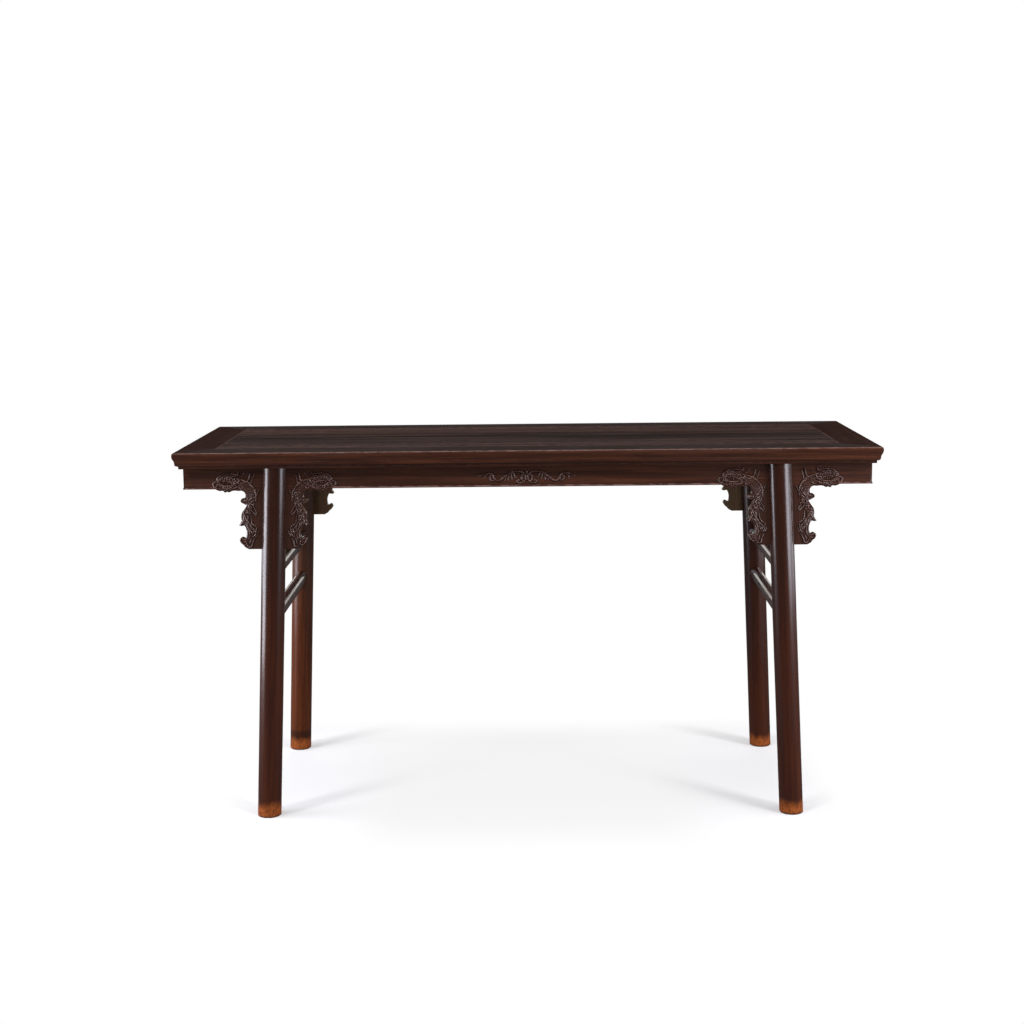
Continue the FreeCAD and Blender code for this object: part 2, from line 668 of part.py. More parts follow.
def build():
    """All the pieces, each under the name of its file."""
    front, right = long_rail(), end_rail()
    pieces = [front, mirrored(front, "top_rail_rear", y=1), right, mirrored(right, "top_rail_left", x=1)]
    pieces += [panel_board("panel_board_front", "-1"), panel_board("panel_board_rear", "1")]
    pieces += [brace(f"cross_brace_{i}", place) for i, place in enumerate(BRACES, start=1)]
    shaft = leg_shaft()
    post, board = leg(shaft), spandrel()
    for piece, name in ((post, "leg"), (board, "spandrel")):
        pieces += [piece, mirrored(piece, f"{name}_front_right", x=1)]
        pieces += [mirrored(piece, f"{name}_rear_left", y=1)]
        pieces += [mirrored(pieces[-2], f"{name}_rear_right", y=1)]
    envelope = doc.addObject("Part::Compound", "both_shafts")
    envelope.Links = [shaft, mirrored(shaft, "leg_shaft_rear", y=1)]
    for name, height in STRETCHERS.items():
        rail = stretcher(name, height, envelope)
        pieces += [rail, mirrored(rail, f"stretcher_{name}_right", x=1)]
    long_board, short_board = apron(), end_apron()
    pieces += [long_board, mirrored(long_board, "apron_rear", y=1)]
    pieces += [short_board, mirrored(short_board, "apron_left", x=1)]
    return pieces


def save(pieces):
    """Checks every object and writes each piece to its own file."""
    doc.recompute()
    for thing in doc.Objects:
        if "Invalid" in thing.State or "Error" in thing.State:
            raise RuntimeError(f"{thing.Label} is {thing.State}")
    os.makedirs("parts", exist_ok=True)
    for piece in pieces:
        shape = piece.Shape
        if shape.isNull() or not shape.isValid() or len(shape.Solids) != 1:
            raise RuntimeError(f"{piece.Label} is not one valid solid")
        shape.exportStep(os.path.join("parts", piece.Label + ".step"))
        box = shape.BoundBox
        print(f"{piece.Label}: {shape.Volume / 1000:.1f} cm3, {box.XLength:.1f} x {box.YLength:.1f} x {box.ZLength:.1f}")


save(build())
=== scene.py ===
from itertools import product
from math import atan, cos, pi, radians, sin

import bpy
import numpy as np
from mathutils import Matrix, Vector
from mathutils.geometry import delaunay_2d_cdt
from mathutils.kdtree import KDTree


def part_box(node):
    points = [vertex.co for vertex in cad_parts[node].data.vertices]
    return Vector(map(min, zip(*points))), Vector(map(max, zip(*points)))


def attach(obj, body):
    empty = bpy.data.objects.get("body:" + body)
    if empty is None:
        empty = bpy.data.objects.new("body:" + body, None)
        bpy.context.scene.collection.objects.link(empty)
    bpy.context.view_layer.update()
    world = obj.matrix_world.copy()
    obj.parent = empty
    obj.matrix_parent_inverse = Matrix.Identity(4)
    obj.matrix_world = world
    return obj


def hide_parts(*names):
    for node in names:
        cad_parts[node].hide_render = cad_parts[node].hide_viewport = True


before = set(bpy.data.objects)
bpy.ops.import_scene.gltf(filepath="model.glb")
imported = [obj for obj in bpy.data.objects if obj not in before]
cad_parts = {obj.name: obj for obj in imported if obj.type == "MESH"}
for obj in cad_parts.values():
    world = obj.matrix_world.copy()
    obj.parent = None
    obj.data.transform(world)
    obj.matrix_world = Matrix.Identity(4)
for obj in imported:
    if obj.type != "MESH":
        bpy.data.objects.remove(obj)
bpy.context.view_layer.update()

# A recessed-leg altar table in dark, wax-polished hardwood: a mitred and moulded frame with a flush floating
# panel, four round splayed legs, paired oval stretchers at each end, plain aprons, and spandrels carved in
# low relief with scrolling dragons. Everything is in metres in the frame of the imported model; the moulding's
# and the carver's tables alone are in millimetres.

bl_info = {
    "name": "Altar table",
    "version": (1, 0, 0),
    "blender": (4, 5, 0),
    "location": "3D View > Sidebar > Altar table",
    "description": "Builds a carved recessed-leg altar table and its studio stage",
    "category": "Object",
}

MM = 0.001


# The driving sizes and colours

def linear(code):
    """A colour from its sRGB hex value to the linear red, green and blue that Blender works in."""
    parts = [int(code[i:i + 2], 16) / 255 for i in (1, 3, 5)]
    return tuple(c / 12.92 if c <= 0.04045 else ((c + 0.055) / 1.055) ** 2.4 for c in parts)


def length(name, description, default):
    """A length in metres whose default is given in millimetres."""
    return bpy.props.FloatProperty(name=name, description=description, default=default * MM, min=0,
                                   subtype="DISTANCE", unit="LENGTH", precision=4)


def colour(name, description, code):
    return bpy.props.FloatVectorProperty(name=name, description=description, default=linear(code), size=3,
                                         min=0, max=1, subtype="COLOR")


RAIL_LOW, RAIL_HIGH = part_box("top_rail_front")


class AltarTableSizes(bpy.types.PropertyGroup):
    """The sizes that the pieces are built from."""
    table_length: length("Length", "Overall length of the top", (RAIL_HIGH[0] - RAIL_LOW[0]) / MM)
    table_depth: length("Depth", "Overall depth of the top", -2 * RAIL_LOW[1] / MM)
    table_height: length("Height", "Height of the top above the floor", RAIL_HIGH[2] / MM)
    rail_width: length("Rail width", "Width of the frame's rails", 82)
    rail_thickness: length("Rail thickness", "Thickness of the frame's rails", 36)
    panel_thickness: length("Panel thickness", "Thickness of the floating panel", 13)
    brace_spacing: length("Brace spacing", "Distance between the cross braces", 274)
    leg_radius: length("Leg radius", "Radius of the round legs", 26.2)
    leg_inset_end: length("Leg inset, end", "From the end of the top to a leg's axis below it", 217)
    leg_inset_front: length("Leg inset, front", "From the front of the top to a leg's axis below it", 40)
    splay_end: length("Splay, end", "How far a foot stands out towards the table's end", 36)
    splay_front: length("Splay, front", "How far a foot stands out towards the front", 18)
    foot_round: length("Foot rounding", "Worn rounding of a foot's edge", 2.5)
    board_thickness: length("Board thickness", "Thickness of the aprons and spandrels", 14)
    apron_height: length("Apron height", "Height of the aprons", 47.5)
    apron_setback: length("Apron setback", "From the end of the top to the end apron's face", 17.3)
    spandrel_height: length("Spandrel height", "Height of the spandrels below the apron", 132.5)
    spandrel_reach: length("Spandrel reach", "From a leg's axis to the tips of its spandrel's claws", 74)
    stretcher_width: length("Stretcher width", "Width of the oval stretchers", 28)
    stretcher_height: length("Stretcher height", "Height of the oval stretchers", 36)
    stretcher_drop: length("Stretcher drop", "From the frame's underside to the upper stretcher's axis", 234)
    stretcher_pitch: length("Stretcher pitch", "Between the axes of the two stretchers", 103)
    carving_grid: length("Carving grid", "Distance between the carved surface's points", 0.65)
    eased_edge: length("Eased edge", "Rounding of the boards' edges", 0.9)

    @property
    def underside(self):
        """Height of the frame's underside above the floor."""
        return self.table_height - self.rail_thickness

    @property
    def leg_x(self):
        """Distance of a leg's axis from the middle along the table, just under the frame."""
        return self.table_length / 2 - self.leg_inset_end

    @property
    def leg_y(self):
        """Distance of a leg's axis from the middle across the table, just under the frame."""
        return self.table_depth / 2 - self.leg_inset_front


class AltarTableColours(bpy.types.PropertyGroup):
    """The colours of the wood."""
    heart: colour("Heartwood", "The wood's middle tone", "#3c2016")
    leg: colour("Leg wood", "The middle tone of the legs", "#38180d")
    leg_glow: colour("Leg figure", "The redder bands of the legs", "#663214")
    dry: colour("Dry leg", "The dried upper part of the rear left leg", "#4b372b")
    streak: colour("Dark streaks", "The late-wood streaks", "#200e09")
    glow: colour("Red figure", "The redder bands", "#5c3421")
    top: colour("Panel wood", "The middle tone of the worn panel", "#282322")
    top_streak: colour("Panel streaks", "The panel's dark streaks", "#12100f")
    top_glow: colour("Panel bands", "The panel's lighter bands", "#463935")
    # The colour of edges and ridges that are painted lighter, as rubbed wear and painted highlight.
    wear_and_painted_light: colour("Rubbed edges", "The wood on edges and ridges that are worn bright", "#7c5c55")
    foot: colour("Worn foot", "The bare wood at the feet", "#9e5321")
    raw: colour("Unwaxed back", "The dry, unwaxed backs of the aprons and spandrels", "#5c482d")


def sizes():
    return bpy.context.scene.altar_table_sizes


def tones():
    return bpy.context.scene.altar_table_colours


# Moulding and carving tables, in millimetres

# The moulding from the top's edge down to its underside, as (inset, drop, paint). A positive paint lightens a
# point, as rubbed wear and painted highlight on the lip's arris, the line below it and the fillet; a negative
# one darkens the turned-under face and its crease, as dark wax and painted shade.
MOULDING = [
    (3.4, 0, 0.1), (2.2, 0.2, 0.5), (1.3, 0.8, 0.8), (0.7, 1.8, 0.4), (0.3, 3.4, 0.1), (0.05, 5.4, 0.0),
    (0, 7.4, 0.0), (0.3, 9.8, 0.0), (1.0, 12.2, 0.0), (2.1, 14.6, 0.0), (3.2, 16.7, 0.0), (3.9, 18.2, 0.1),
    (4.3, 20, 0.25), (4.6, 22.5, 0.0), (4.9, 25, 0.0), (5.2, 26.6, 0.1), (5.9, 27.8, -0.1), (7.3, 28.9, -0.3),
    (9.0, 29.6, -0.5), (10.6, 30.0, -0.6), (11.3, 30.1, 0.1), (11.6, 30.6, 0.4), (11.6, 33, 0.1),
    (11.6, 35.4, 0.1), (12.2, 36, 0.0),
]
# The outline of one wing of a spandrel, from the chin of the carved head down to the foot of the board. Each
# row is the end of a line or arc: out from the leg's axis as a share of the reach, down from the apron as a
# share of the height, and the arc's bulge (rise over half the chord, positive away from the wood).
WING_SHARES = [
    (1.730, 0.000, 0.00), (1.590, 0.030, 0.12), (1.495, 0.030, -0.15), (1.395, 0.036, 0.75),
    (1.270, 0.034, 0.45), (1.110, 0.026, -0.12), (0.995, 0.026, 0.10), (0.876, 0.158, -0.62),
    (0.925, 0.158, 0.00), (0.965, 0.222, 0.70), (0.804, 0.268, 0.05), (0.940, 0.385, -0.06),
    (0.948, 0.522, 0.16), (1.005, 0.585, -0.10), (0.985, 0.612, 0.80), (0.868, 0.604, 0.10),
    (0.835, 0.828, -0.30), (0.925, 0.803, 0.10), (0.978, 0.872, 0.62), (0.885, 0.925, 0.18),
    (0.770, 0.985, 0.22), (0.700, 1.000, 0.20),
]

# The strokes of the carving: how far each rises, then its points as (out from the leg's axis, down from the
# frame, half width). The masses are laid first, and the lines are cut on top of them.
DRAGON_MASSES = [
    # head and snout
    (2.6, [(78, 33, 7), (88, 28, 9), (98, 25, 9), (108, 23, 7.5), (117, 23, 6), (123, 26, 4)]),
    # lower jaw
    (2.2, [(84, 40, 7), (94, 42, 5.5), (104, 43, 4.6), (112, 42, 3.6), (120, 38, 3), (127, 34, 2.6)]),
    # neck and body
    (2.4, [(88, 34, 9), (76, 36, 10), (65, 41, 10), (56, 49, 10), (51, 60, 9.5), (50, 72, 9),
           (52, 84, 8.5), (56, 95, 8.5), (60, 106, 7.5), (60, 116, 6)]),
    # haunch and foreleg
    (1.7, [(62, 92, 8), (63, 104, 8.5), (62, 116, 7), (57, 128, 5.5), (52, 138, 4.5), (45, 144, 3.5)]),
    # tail
    (1.4, [(60, 120, 5), (57, 132, 4), (55, 144, 3.6), (56, 155, 4), (61, 163, 5.5), (66, 162, 5)]),
    # upper claw
    (1.8, [(60, 73, 3.5), (65, 73, 3.4), (70, 73, 3)]),
    # middle claw
    (1.8, [(63, 112, 4), (67, 119, 3.4), (71, 126, 2.6)]),
]
DRAGON_LINES = [
    # ridge along the back of the neck
    (2.8, [(82, 24, 1.6), (71, 27, 2.2), (60, 32, 2.6), (50, 39.5, 2.6), (43.5, 48, 2.4), (40, 57, 2),
           (39, 66, 1.6), (39.5, 75, 1.2)]),
    # ridge along the breast
    (1.4, [(58, 80, 1.0), (62, 89, 1.5), (67, 96, 1.5), (70, 102, 1.0)]),
    # skull and snout
    (2.0, [(79, 17, 1.3), (87, 14.5, 1.7), (98, 13.5, 1.7), (109, 14, 1.8), (117, 17, 1.9), (123, 22, 1.9),
           (124, 28, 1.7), (119, 30, 1.5), (116, 26.5, 1.3)]),
    # nostril
    (1.6, [(112, 20, 1.2), (115, 21.5, 1.5), (113, 24, 1.2)]),
    # eye and brow
    (2.2, [(93, 23.5, 1.2), (97, 21, 1.5), (101.5, 22, 1.5), (103, 25.5, 1.2)]),
    (2.4, [(97, 26.2, 1.9), (98.4, 26.4, 1.9)]),
    # upper lip with its teeth
    (1.8, [(92, 33, 1.1), (99, 30.5, 1.5), (107, 30, 1.6), (114, 31, 1.3)]),
    (1.7, [(101, 33.4, 1.3), (101.4, 35, 1.0)]),
    (1.7, [(105.6, 33.4, 1.3), (106, 35, 1.0)]),
    (1.7, [(110, 33.6, 1.3), (110.4, 35.2, 1.0)]),
    # lower lip and the curl at its tip
    (2.4, [(91, 40.5, 1.2), (100, 40, 1.7), (108, 40.5, 1.9), (115, 37.5, 2), (121, 33.5, 2.1),
           (127, 31, 2.1), (132, 33, 2), (133.5, 38, 1.9), (130.5, 42, 1.7), (126, 41.5, 1.5),
           (125, 38, 1.2)]),
    # beard under the jaw
    (1.8, [(78, 40, 1.1), (84, 44, 1.6), (90, 46.5, 1.5), (97, 48.5, 1.2)]),
    (1.6, [(92, 44.5, 1.2), (99, 46, 1.6), (104, 49, 1.6), (108, 50, 1.2)]),
    (1.6, [(107, 46, 1.2), (113, 47, 1.5), (118, 45.5, 1.3)]),
    (1.5, [(68, 42, 1.2), (70, 46, 1.6), (75, 46.5, 1.4), (77, 43, 1.0)]),
    # horns
    (1.3, [(67, 13, 0.8), (69, 18, 1.3), (73, 21.5, 1.4), (79, 23.5, 1.3)]),
    (2.1, [(79, 10, 1.1), (81.5, 14.5, 1.7), (86, 18, 1.8), (92, 19.5, 1.4)]),
    # ear
    (2.4, [(76.5, 25, 1.5), (77.5, 29.5, 2), (81, 33, 1.2)]),
    # cheek
    (1.5, [(84, 30, 1.1), (88, 33, 1.5), (87, 37, 1.5), (83, 37.5, 1.1)]),
    # mane
    (2.7, [(52.5, 12, 1.1), (54, 19, 1.9), (56, 26, 2.1), (60.5, 31, 2), (67, 34.5, 1.3)]),
    (1.3, [(44, 15, 0.9), (47, 21, 1.4), (49, 28, 1.5), (50.5, 35, 1.3), (54, 40, 0.9)]),
    # flames behind the neck
    (2.5, [(33, 51, 1.0), (35.5, 55.5, 1.9), (38.5, 60.5, 1.9), (41, 66, 1.2)]),
    (1.8, [(42.5, 52, 0.9), (41, 57, 1.4), (39.5, 62, 1.2)]),
    (2.1, [(49, 93, 1.2), (46, 98, 1.8), (41, 103, 1.7), (37, 107, 0.9)]),
    (1.8, [(43, 88, 1.2), (40.5, 94, 1.6), (38, 99, 1.4), (35.5, 105, 0.8)]),
    # curls of the shoulder, the flank and the haunch
    (1.9, [(44.5, 88, 1.2), (45, 83.5, 1.6), (48.5, 80.5, 1.7), (53, 81, 1.7), (55, 85, 1.6),
           (53.5, 89, 1.5), (50, 89.5, 1.3), (49, 86.5, 1.1)]),
    (1.9, [(57.5, 100, 1.2), (58.5, 95.5, 1.6), (62.5, 93, 1.7), (67, 95, 1.7), (68.5, 99.5, 1.6),
           (66, 103, 1.5), (62.5, 103, 1.3), (61.5, 100, 1.1)]),
    (1.8, [(55.5, 112, 1.2), (57, 107.5, 1.5), (61, 106, 1.6), (65, 108.5, 1.6), (65, 113, 1.5),
           (61.5, 115, 1.3), (59.5, 112.5, 1.1)]),
    (1.4, [(47, 66, 1.0), (51, 69, 1.3), (54, 73.5, 1.1)]),
    (1.4, [(45, 73, 1.0), (49, 76, 1.2), (52, 79, 1.0)]),
    # foreleg and its toes
    (2.6, [(66, 98, 1.3), (63, 107, 1.8), (58.5, 115, 2.1), (53.5, 123, 2.2), (48, 131, 2.2),
           (42.5, 138, 2.1), (38, 144, 1.2)]),
    (1.9, [(50, 104, 1.0), (49, 113, 1.5), (48, 121, 1.8), (44.5, 127, 1.8), (39, 130.5, 1.0)]),
    (1.9, [(51, 131, 1.3), (48.5, 135, 1.7), (43.5, 137.5, 1.5), (40, 137, 0.9)]),
    (1.7, [(50, 139, 1.2), (47, 144, 1.6), (45.5, 149, 1.0)]),
    # curls of the middle claw
    (1.8, [(63, 114, 1.2), (66.5, 119.5, 1.6), (70, 124.5, 1.7), (72, 127.5, 1.2)]),
    (1.5, [(60.5, 119, 1.1), (63.5, 123, 1.4), (65.5, 127, 1.2)]),
    # wisps beside the leg
    (2.5, [(36.5, 132, 1.0), (37.5, 138, 1.8), (38.5, 145, 2), (41, 150, 1.7), (45.5, 152, 1.0)]),
    (1.9, [(33, 140, 0.9), (34.5, 146, 1.5), (38, 151.5, 1.4)]),
    (2.6, [(39.5, 155, 1.0), (43, 161, 1.8), (45.5, 168, 2.1), (47, 173.5, 2), (51.5, 175.5, 1.8),
           (56, 172.5, 1.5), (57, 168, 1.1)]),
    (1.7, [(48.5, 156, 0.9), (50, 162, 1.4), (51.5, 168, 1.2)]),
    # tail lines
    (1.7, [(58, 122, 1.1), (56, 131, 1.5), (53, 140, 1.6), (51.5, 149, 1.5), (53.5, 157, 1.1)]),
    (1.4, [(57.5, 138, 0.9), (56.5, 147, 1.3), (58, 155, 1.1)]),
    # scroll of the tail in the lower claw
    (2.2, [(58.5, 157, 1.2), (62, 159, 1.6), (66.5, 157, 1.8), (70, 156.5, 1.9), (72, 160, 1.9),
           (70.5, 165, 1.8), (66.5, 169.5, 1.7), (61.5, 171, 1.5), (58.5, 167.5, 1.4), (60, 163.5, 1.3),
           (64, 163, 1.1)]),
    # curl of the upper claw
    (1.9, [(60.5, 78, 1.2), (66, 78, 1.6), (71, 76, 1.7), (72.5, 72.5, 1.6), (69.5, 70.3, 1.3)]),
    (1.3, [(61.5, 73.5, 1.0), (66.5, 73.8, 1.2)]),
]
# The open mouth and the hollow behind the jaw, which are cut deeper.
DRAGON_HOLLOWS = [
    (1.8, [(94, 36.5, 1.5), (101, 36, 3), (109, 35.5, 3.4), (117, 33, 2.4)]),
    (1.2, [(74, 36, 1.2), (78, 38, 2.2), (83, 38, 1.5)]),
]
# The scroll in the middle of the apron, whose points are out from the table's middle; both halves match.
SCROLL_LINES = [
    # bud
    (1.6, [(0, 13.5, 1.0), (0, 18, 2.4), (0, 23, 1.4)]),
    # tendril
    (2.2, [(2.6, 31, 1.4), (3, 25, 1.8), (7, 17.5, 1.9), (14.5, 14, 1.9), (24, 13.5, 1.9), (34, 15.5, 2),
           (42.5, 21, 2.1), (50.5, 28.5, 2.2), (59, 33.3, 2.1), (66.5, 33, 2), (72, 28.5, 1.8),
           (73.5, 22.5, 1.7), (77.5, 18.5, 1.6), (87, 17.5, 1.5), (95, 20, 1.2), (103.5, 24, 0.7)]),
    # inner curl
    (1.9, [(5, 20, 1.1), (9.5, 22, 1.6), (11.5, 27, 1.8), (10, 32.5, 1.6), (6, 35.5, 1.1)]),
    # foot curl
    (1.9, [(3, 31, 1.1), (6.5, 36.5, 1.6), (12, 38.5, 1.8), (18, 38.5, 1.8), (21, 35, 1.6),
           (18.5, 32.2, 1.3), (16, 34, 1.0)]),
    # leaves
    (1.7, [(40.5, 18, 1.1), (45, 25, 1.6), (47, 33, 0.8)]),
    (1.6, [(36.5, 17.5, 1.1), (40, 25, 1.5), (40.5, 33.5, 0.8)]),
    (1.5, [(33, 17.5, 1.0), (34, 24, 1.4), (32, 31, 0.8)]),
    (1.5, [(29, 17, 1.0), (27, 23, 1.3), (23, 27.5, 0.8)]),
    # outer curl
    (1.8, [(74.5, 20.5, 1.1), (79, 23.5, 1.6), (80.5, 29, 1.7), (77, 33.5, 1.5), (73, 33.5, 1.2),
           (72, 30.5, 0.9)]),
    (1.4, [(86, 19.5, 0.9), (90.5, 24.5, 1.2), (91.5, 29, 0.8)]),
]
# How far a carved head reaches from its leg's axis, how far out from the table's middle the scroll's close
# points go, and how far a carved face runs on into its leg.
HEAD_REACH = 134.0
SCROLL_REACH = 118.0
LEG_LAP = 3.0

# The wood's patterns: how many of each lie in 100 mm along the grain and across it, then the detail,
# roughness and warp of its noise. So growth bands are about 13 mm wide, streaks 3 mm and threads 2 mm. The
# pores are half a millimetre wide, which is twice as wide as real ones, because those wouldn't show.
GRAIN = {
    "band": (0.22, 7.5, 3, 0.55, 1.2),
    "streak": (0.6, 30, 4, 0.62, 0.5),
    "thread": (0.4, 52, 3, 0.6, 0.3),
    "cloud": (0.6, 1, 3, 0.5, 0.0),
    "pore": (7, 190, 2, 0.5, 0.0),
    "rubbed patch": (6, 19, 2, 0.5, 0.0),
    "mopped edge": (2.5, 6, 2, 0.5, 0.0),
    "stain": (14, 20, 3, 0.6, 0.0),
    "plane mark": (0.6, 2, 1, 0.5, 0.0),
}
SMOOTH = {"interpolation_type": "SMOOTHSTEP"}
SHARP_EDGE = radians(35)
# The turn of a wood whose grain runs across the table.
ACROSS = (0, 0, pi / 2)

# The lamps. Softboxes: name, the middle of the box, the way it faces in degrees about Z, width, height, level
# and colour. Far lamps: name, level, width, tilt and turn in degrees, and whether polished surfaces mirror
# them.
SOFTBOXES = [
    ("softbox_left", (-1.85, -0.36, 0.66), -90, 0.84, 1.08, 9.5, "#f6f4ff"),
    ("softbox_left_rear", (-1.85, 0.5, 0.8), -90, 0.9, 1.0, 3.0, "#f6f4ff"),
    ("softbox_right", (1.85, -1.1, 0.74), 90, 1.0, 0.88, 8.4, "#f6f4ff"),
    ("softbox_right_rear", (1.85, 0.0, 0.8), 90, 1.1, 1.0, 3.0, "#f6f4ff"),
    ("white_card_rear", (0, 3.0, 0.58), 180, 4.0, 0.42, 1.4, "#fcf7f1"),
]
FAR_LAMPS = [
    ("overhead", 0.36, 30, 0, 0, True),
    ("key_left", 0.46, 12, 52, -49, True),
    ("key_right", 0.42, 12, 52, 49, True),
    ("front_fill", 0.24, 50, 80, 0, False),
    ("back_fill", 0.3, 50, -75, 0, False),
]


# Surfaces from tables

def polyline(points, count=7):
    """A smooth line through points of any width, by Catmull-Rom spans."""
    p = np.array(points, float)
    p = np.vstack([2 * p[0] - p[1], p, 2 * p[-1] - p[-2]])
    t = np.linspace(0, 1, count, endpoint=False)[:, None]
    spans = [0.5 * (2 * b + (c - a) * t + (2 * a - 5 * b + 4 * c - d) * t ** 2
                    + (3 * b - a - 3 * c + d) * t ** 3) for a, b, c, d in zip(p, p[1:], p[2:], p[3:])]
    return np.vstack(spans + [p[-2:-1]])


def ridges(points, strokes, sharpness, slim=1.0, notched=0.0):
    """Height of the highest stroke above each point; a thin stroke is lower, and all dip in waves."""
    # The lengths of the waves that the gouge has left, and the half width under which a stroke is thin.
    short_wave, long_wave, thin = 5, 19, 1.4
    height = np.zeros(len(points))
    for rise, stroke in strokes:
        line = polyline(stroke)
        widest = line[:, 2].max()
        near = np.all((points > line[:, :2].min(0) - widest) & (points < line[:, :2].max(0) + widest), axis=1)
        where = np.flatnonzero(near)
        spot = points[where]
        best = np.zeros(len(where))
        way = 0.0
        for start, end in zip(line, line[1:]):
            along = end[:2] - start[:2]
            size = max(np.linalg.norm(along), 1e-6)
            t = np.clip((spot - start[:2]) @ along / size ** 2, 0, 1)
            gap = np.linalg.norm(spot - start[:2] - t[:, None] * along, axis=1)
            width = slim * (start[2] + t * (end[2] - start[2]))
            round_top = np.clip(1 - (gap / width) ** 2, 0, 1) ** sharpness
            dips = [0.5 - 0.5 * np.cos(2 * pi * (way + t * size) / wave)
                    for wave in (short_wave, long_wave)]
            cut = 1 - notched * (dips[0] + 1.6 * dips[1])
            best = np.maximum(best, rise * cut * round_top * np.clip(width / thin, 0.5, 1))
            way += size
        height[where] = np.maximum(height[where], best)
    return height


def dragon(points):
    """Height of the dragon at points (out from the leg's axis, down from the frame), in millimetres."""
    mass = 0.6 * ridges(points, DRAGON_MASSES, 0.45)
    line = ridges(points, DRAGON_LINES, 1.0, notched=0.22)
    skin = np.clip(ridges(points, DRAGON_MASSES, 0.5) - 0.7, 0, 1)
    neck = np.clip(ridges(points, DRAGON_MASSES[2:3], 0.5) - 1.2, 0, 1)
    hide = neck * 0.8 * (scales(points) - 0.5) + (1 - neck) * 0.9 * (curls(points) - 0.4)
    mouth = ridges(points, DRAGON_HOLLOWS, 0.6)
    body = np.maximum(mass + line, 1.3 * line) + skin * hide * np.clip(1 - line, 0, 1)
    return body - mouth * (line < 0.5)


def curls(points, pitch=7.0):
    """Small punched curls, each a ring around a dimple, loosely one to a cell, from 0 to 1."""
    ring, thick = 2.1, 0.75
    cell = np.floor(points / pitch)
    height = np.zeros(len(points))
    for step in product((-1, 0, 1), repeat=2):
        home = cell + step
        # A fixed shuffle moves each curl off the middle of its cell.
        loose = np.sin(home @ np.array([[12.7, 26.9], [31.1, 18.3]])) * 437.58
        centre = (home + 0.5 + 0.5 * (loose - np.floor(loose) - 0.5)) * pitch
        off = np.linalg.norm(points - centre, axis=1)
        height = np.maximum(height, np.exp(-((off - ring) / thick) ** 2))
    return height


def scales(points, pitch=7.0):
    """Overlapping scales in staggered rows: each rises towards its rim, from 0 to 1."""
    rim = np.zeros(len(points))
    reach = 0.62
    for shift in (0, 0.5):
        spot = points / pitch + shift
        offset = spot - np.round(spot)
        for step in ((0, 0), (0, 1), (0, -1)):
            r = np.linalg.norm(offset + step, axis=1) / reach
            rim = np.maximum(rim, np.where(r < 1, r ** 5, 0))
    return rim


def folded(points):
    """Points whose left half is folded over onto the right one."""
    return np.column_stack([np.abs(points[:, 0]), points[:, 1]])


def scroll(points):
    """Height of the apron's scroll at points (out from the table's middle, down from the frame)."""
    return 1.25 * ridges(folded(points), SCROLL_LINES, 0.8, slim=1.35, notched=0.2)


def arc(start, end, bulge, step):
    """Points from start, left out, to end along a line or an arc."""
    start, end = np.array(start, float), np.array(end, float)
    chord = end - start
    size = np.linalg.norm(chord)
    count = max(2, int(size / step * (1 + abs(bulge) / 2)) + 1)
    t = np.linspace(0, 1, count + 1)[1:, None]
    if abs(bulge) < 1e-6:
        return start + t * chord
    away = np.array([chord[1], -chord[0]]) / size
    radius = size * (1 + bulge ** 2) / (4 * abs(bulge))
    centre = (start + end) / 2 + away * (bulge * size / 2 - np.sign(bulge) * radius)
    sweep = np.arctan2(*(start - centre)[::-1]) + np.sign(bulge) * 4 * atan(abs(bulge)) * t
    return centre + radius * np.hstack([np.cos(sweep), np.sin(sweep)])


def winding(ring):
    """Twice the area of a closed ring, positive where it runs anticlockwise."""
    x, y = ring.T
    return np.sum(x * np.roll(y, -1) - np.roll(x, -1) * y)


def filled(ring, inner):
    """Points and triangles that fill a closed ring, with more points inside it."""
    count = len(ring)
    points = [Vector(p) for p in np.vstack([ring, inner])]
    sides = [(i, (i + 1) % count) for i in range(count)]
    verts, _, faces, *_ = delaunay_2d_cdt(points, sides, [list(range(count))], 1, 1e-7)
    if len(verts) != len(points):
        raise RuntimeError("an outline crosses itself")
    return np.array([tuple(v) for v in verts]), np.array(faces)


def grid(low, high, step):
    """Points of a close lattice whose rows are staggered."""
    rows = []
    for i, down in enumerate(np.arange(low[1], high[1], step * 0.87)):
        out = np.arange(low[0] + (i % 2) * step / 2, high[0], step)
        rows.append(np.column_stack([out, np.full(len(out), down)]))
    return np.vstack(rows)


def inside(points, ring):
    """Which of the points lie inside a closed ring."""
    odd = np.zeros(len(points), bool)
    x, y = points.T
    for (x1, y1), (x2, y2) in zip(ring, np.roll(ring, -1, axis=0)):
        if y1 != y2:
            odd ^= ((y1 > y) != (y2 > y)) & (x < (x2 - x1) * (y - y1) / (y2 - y1) + x1)
    return odd


def gaps_to(points, others):
    """Distance from each point to the nearest of some others."""
    tree = KDTree(len(others))
    for i, p in enumerate(others):
        tree.insert((*p, 0), i)
    tree.balance()
    return np.array([tree.find((*p, 0))[2] for p in points])


# Pieces

def shown(name, mesh):
    """Puts a mesh in the scene as a piece, smooth but for its sharp edges."""
    mesh.name = name
    mesh.shade_smooth()
    mesh.set_sharp_from_angle(angle=SHARP_EDGE)
    piece = bpy.data.objects.new(name, mesh)
    bpy.context.scene.collection.objects.link(piece)
    return piece


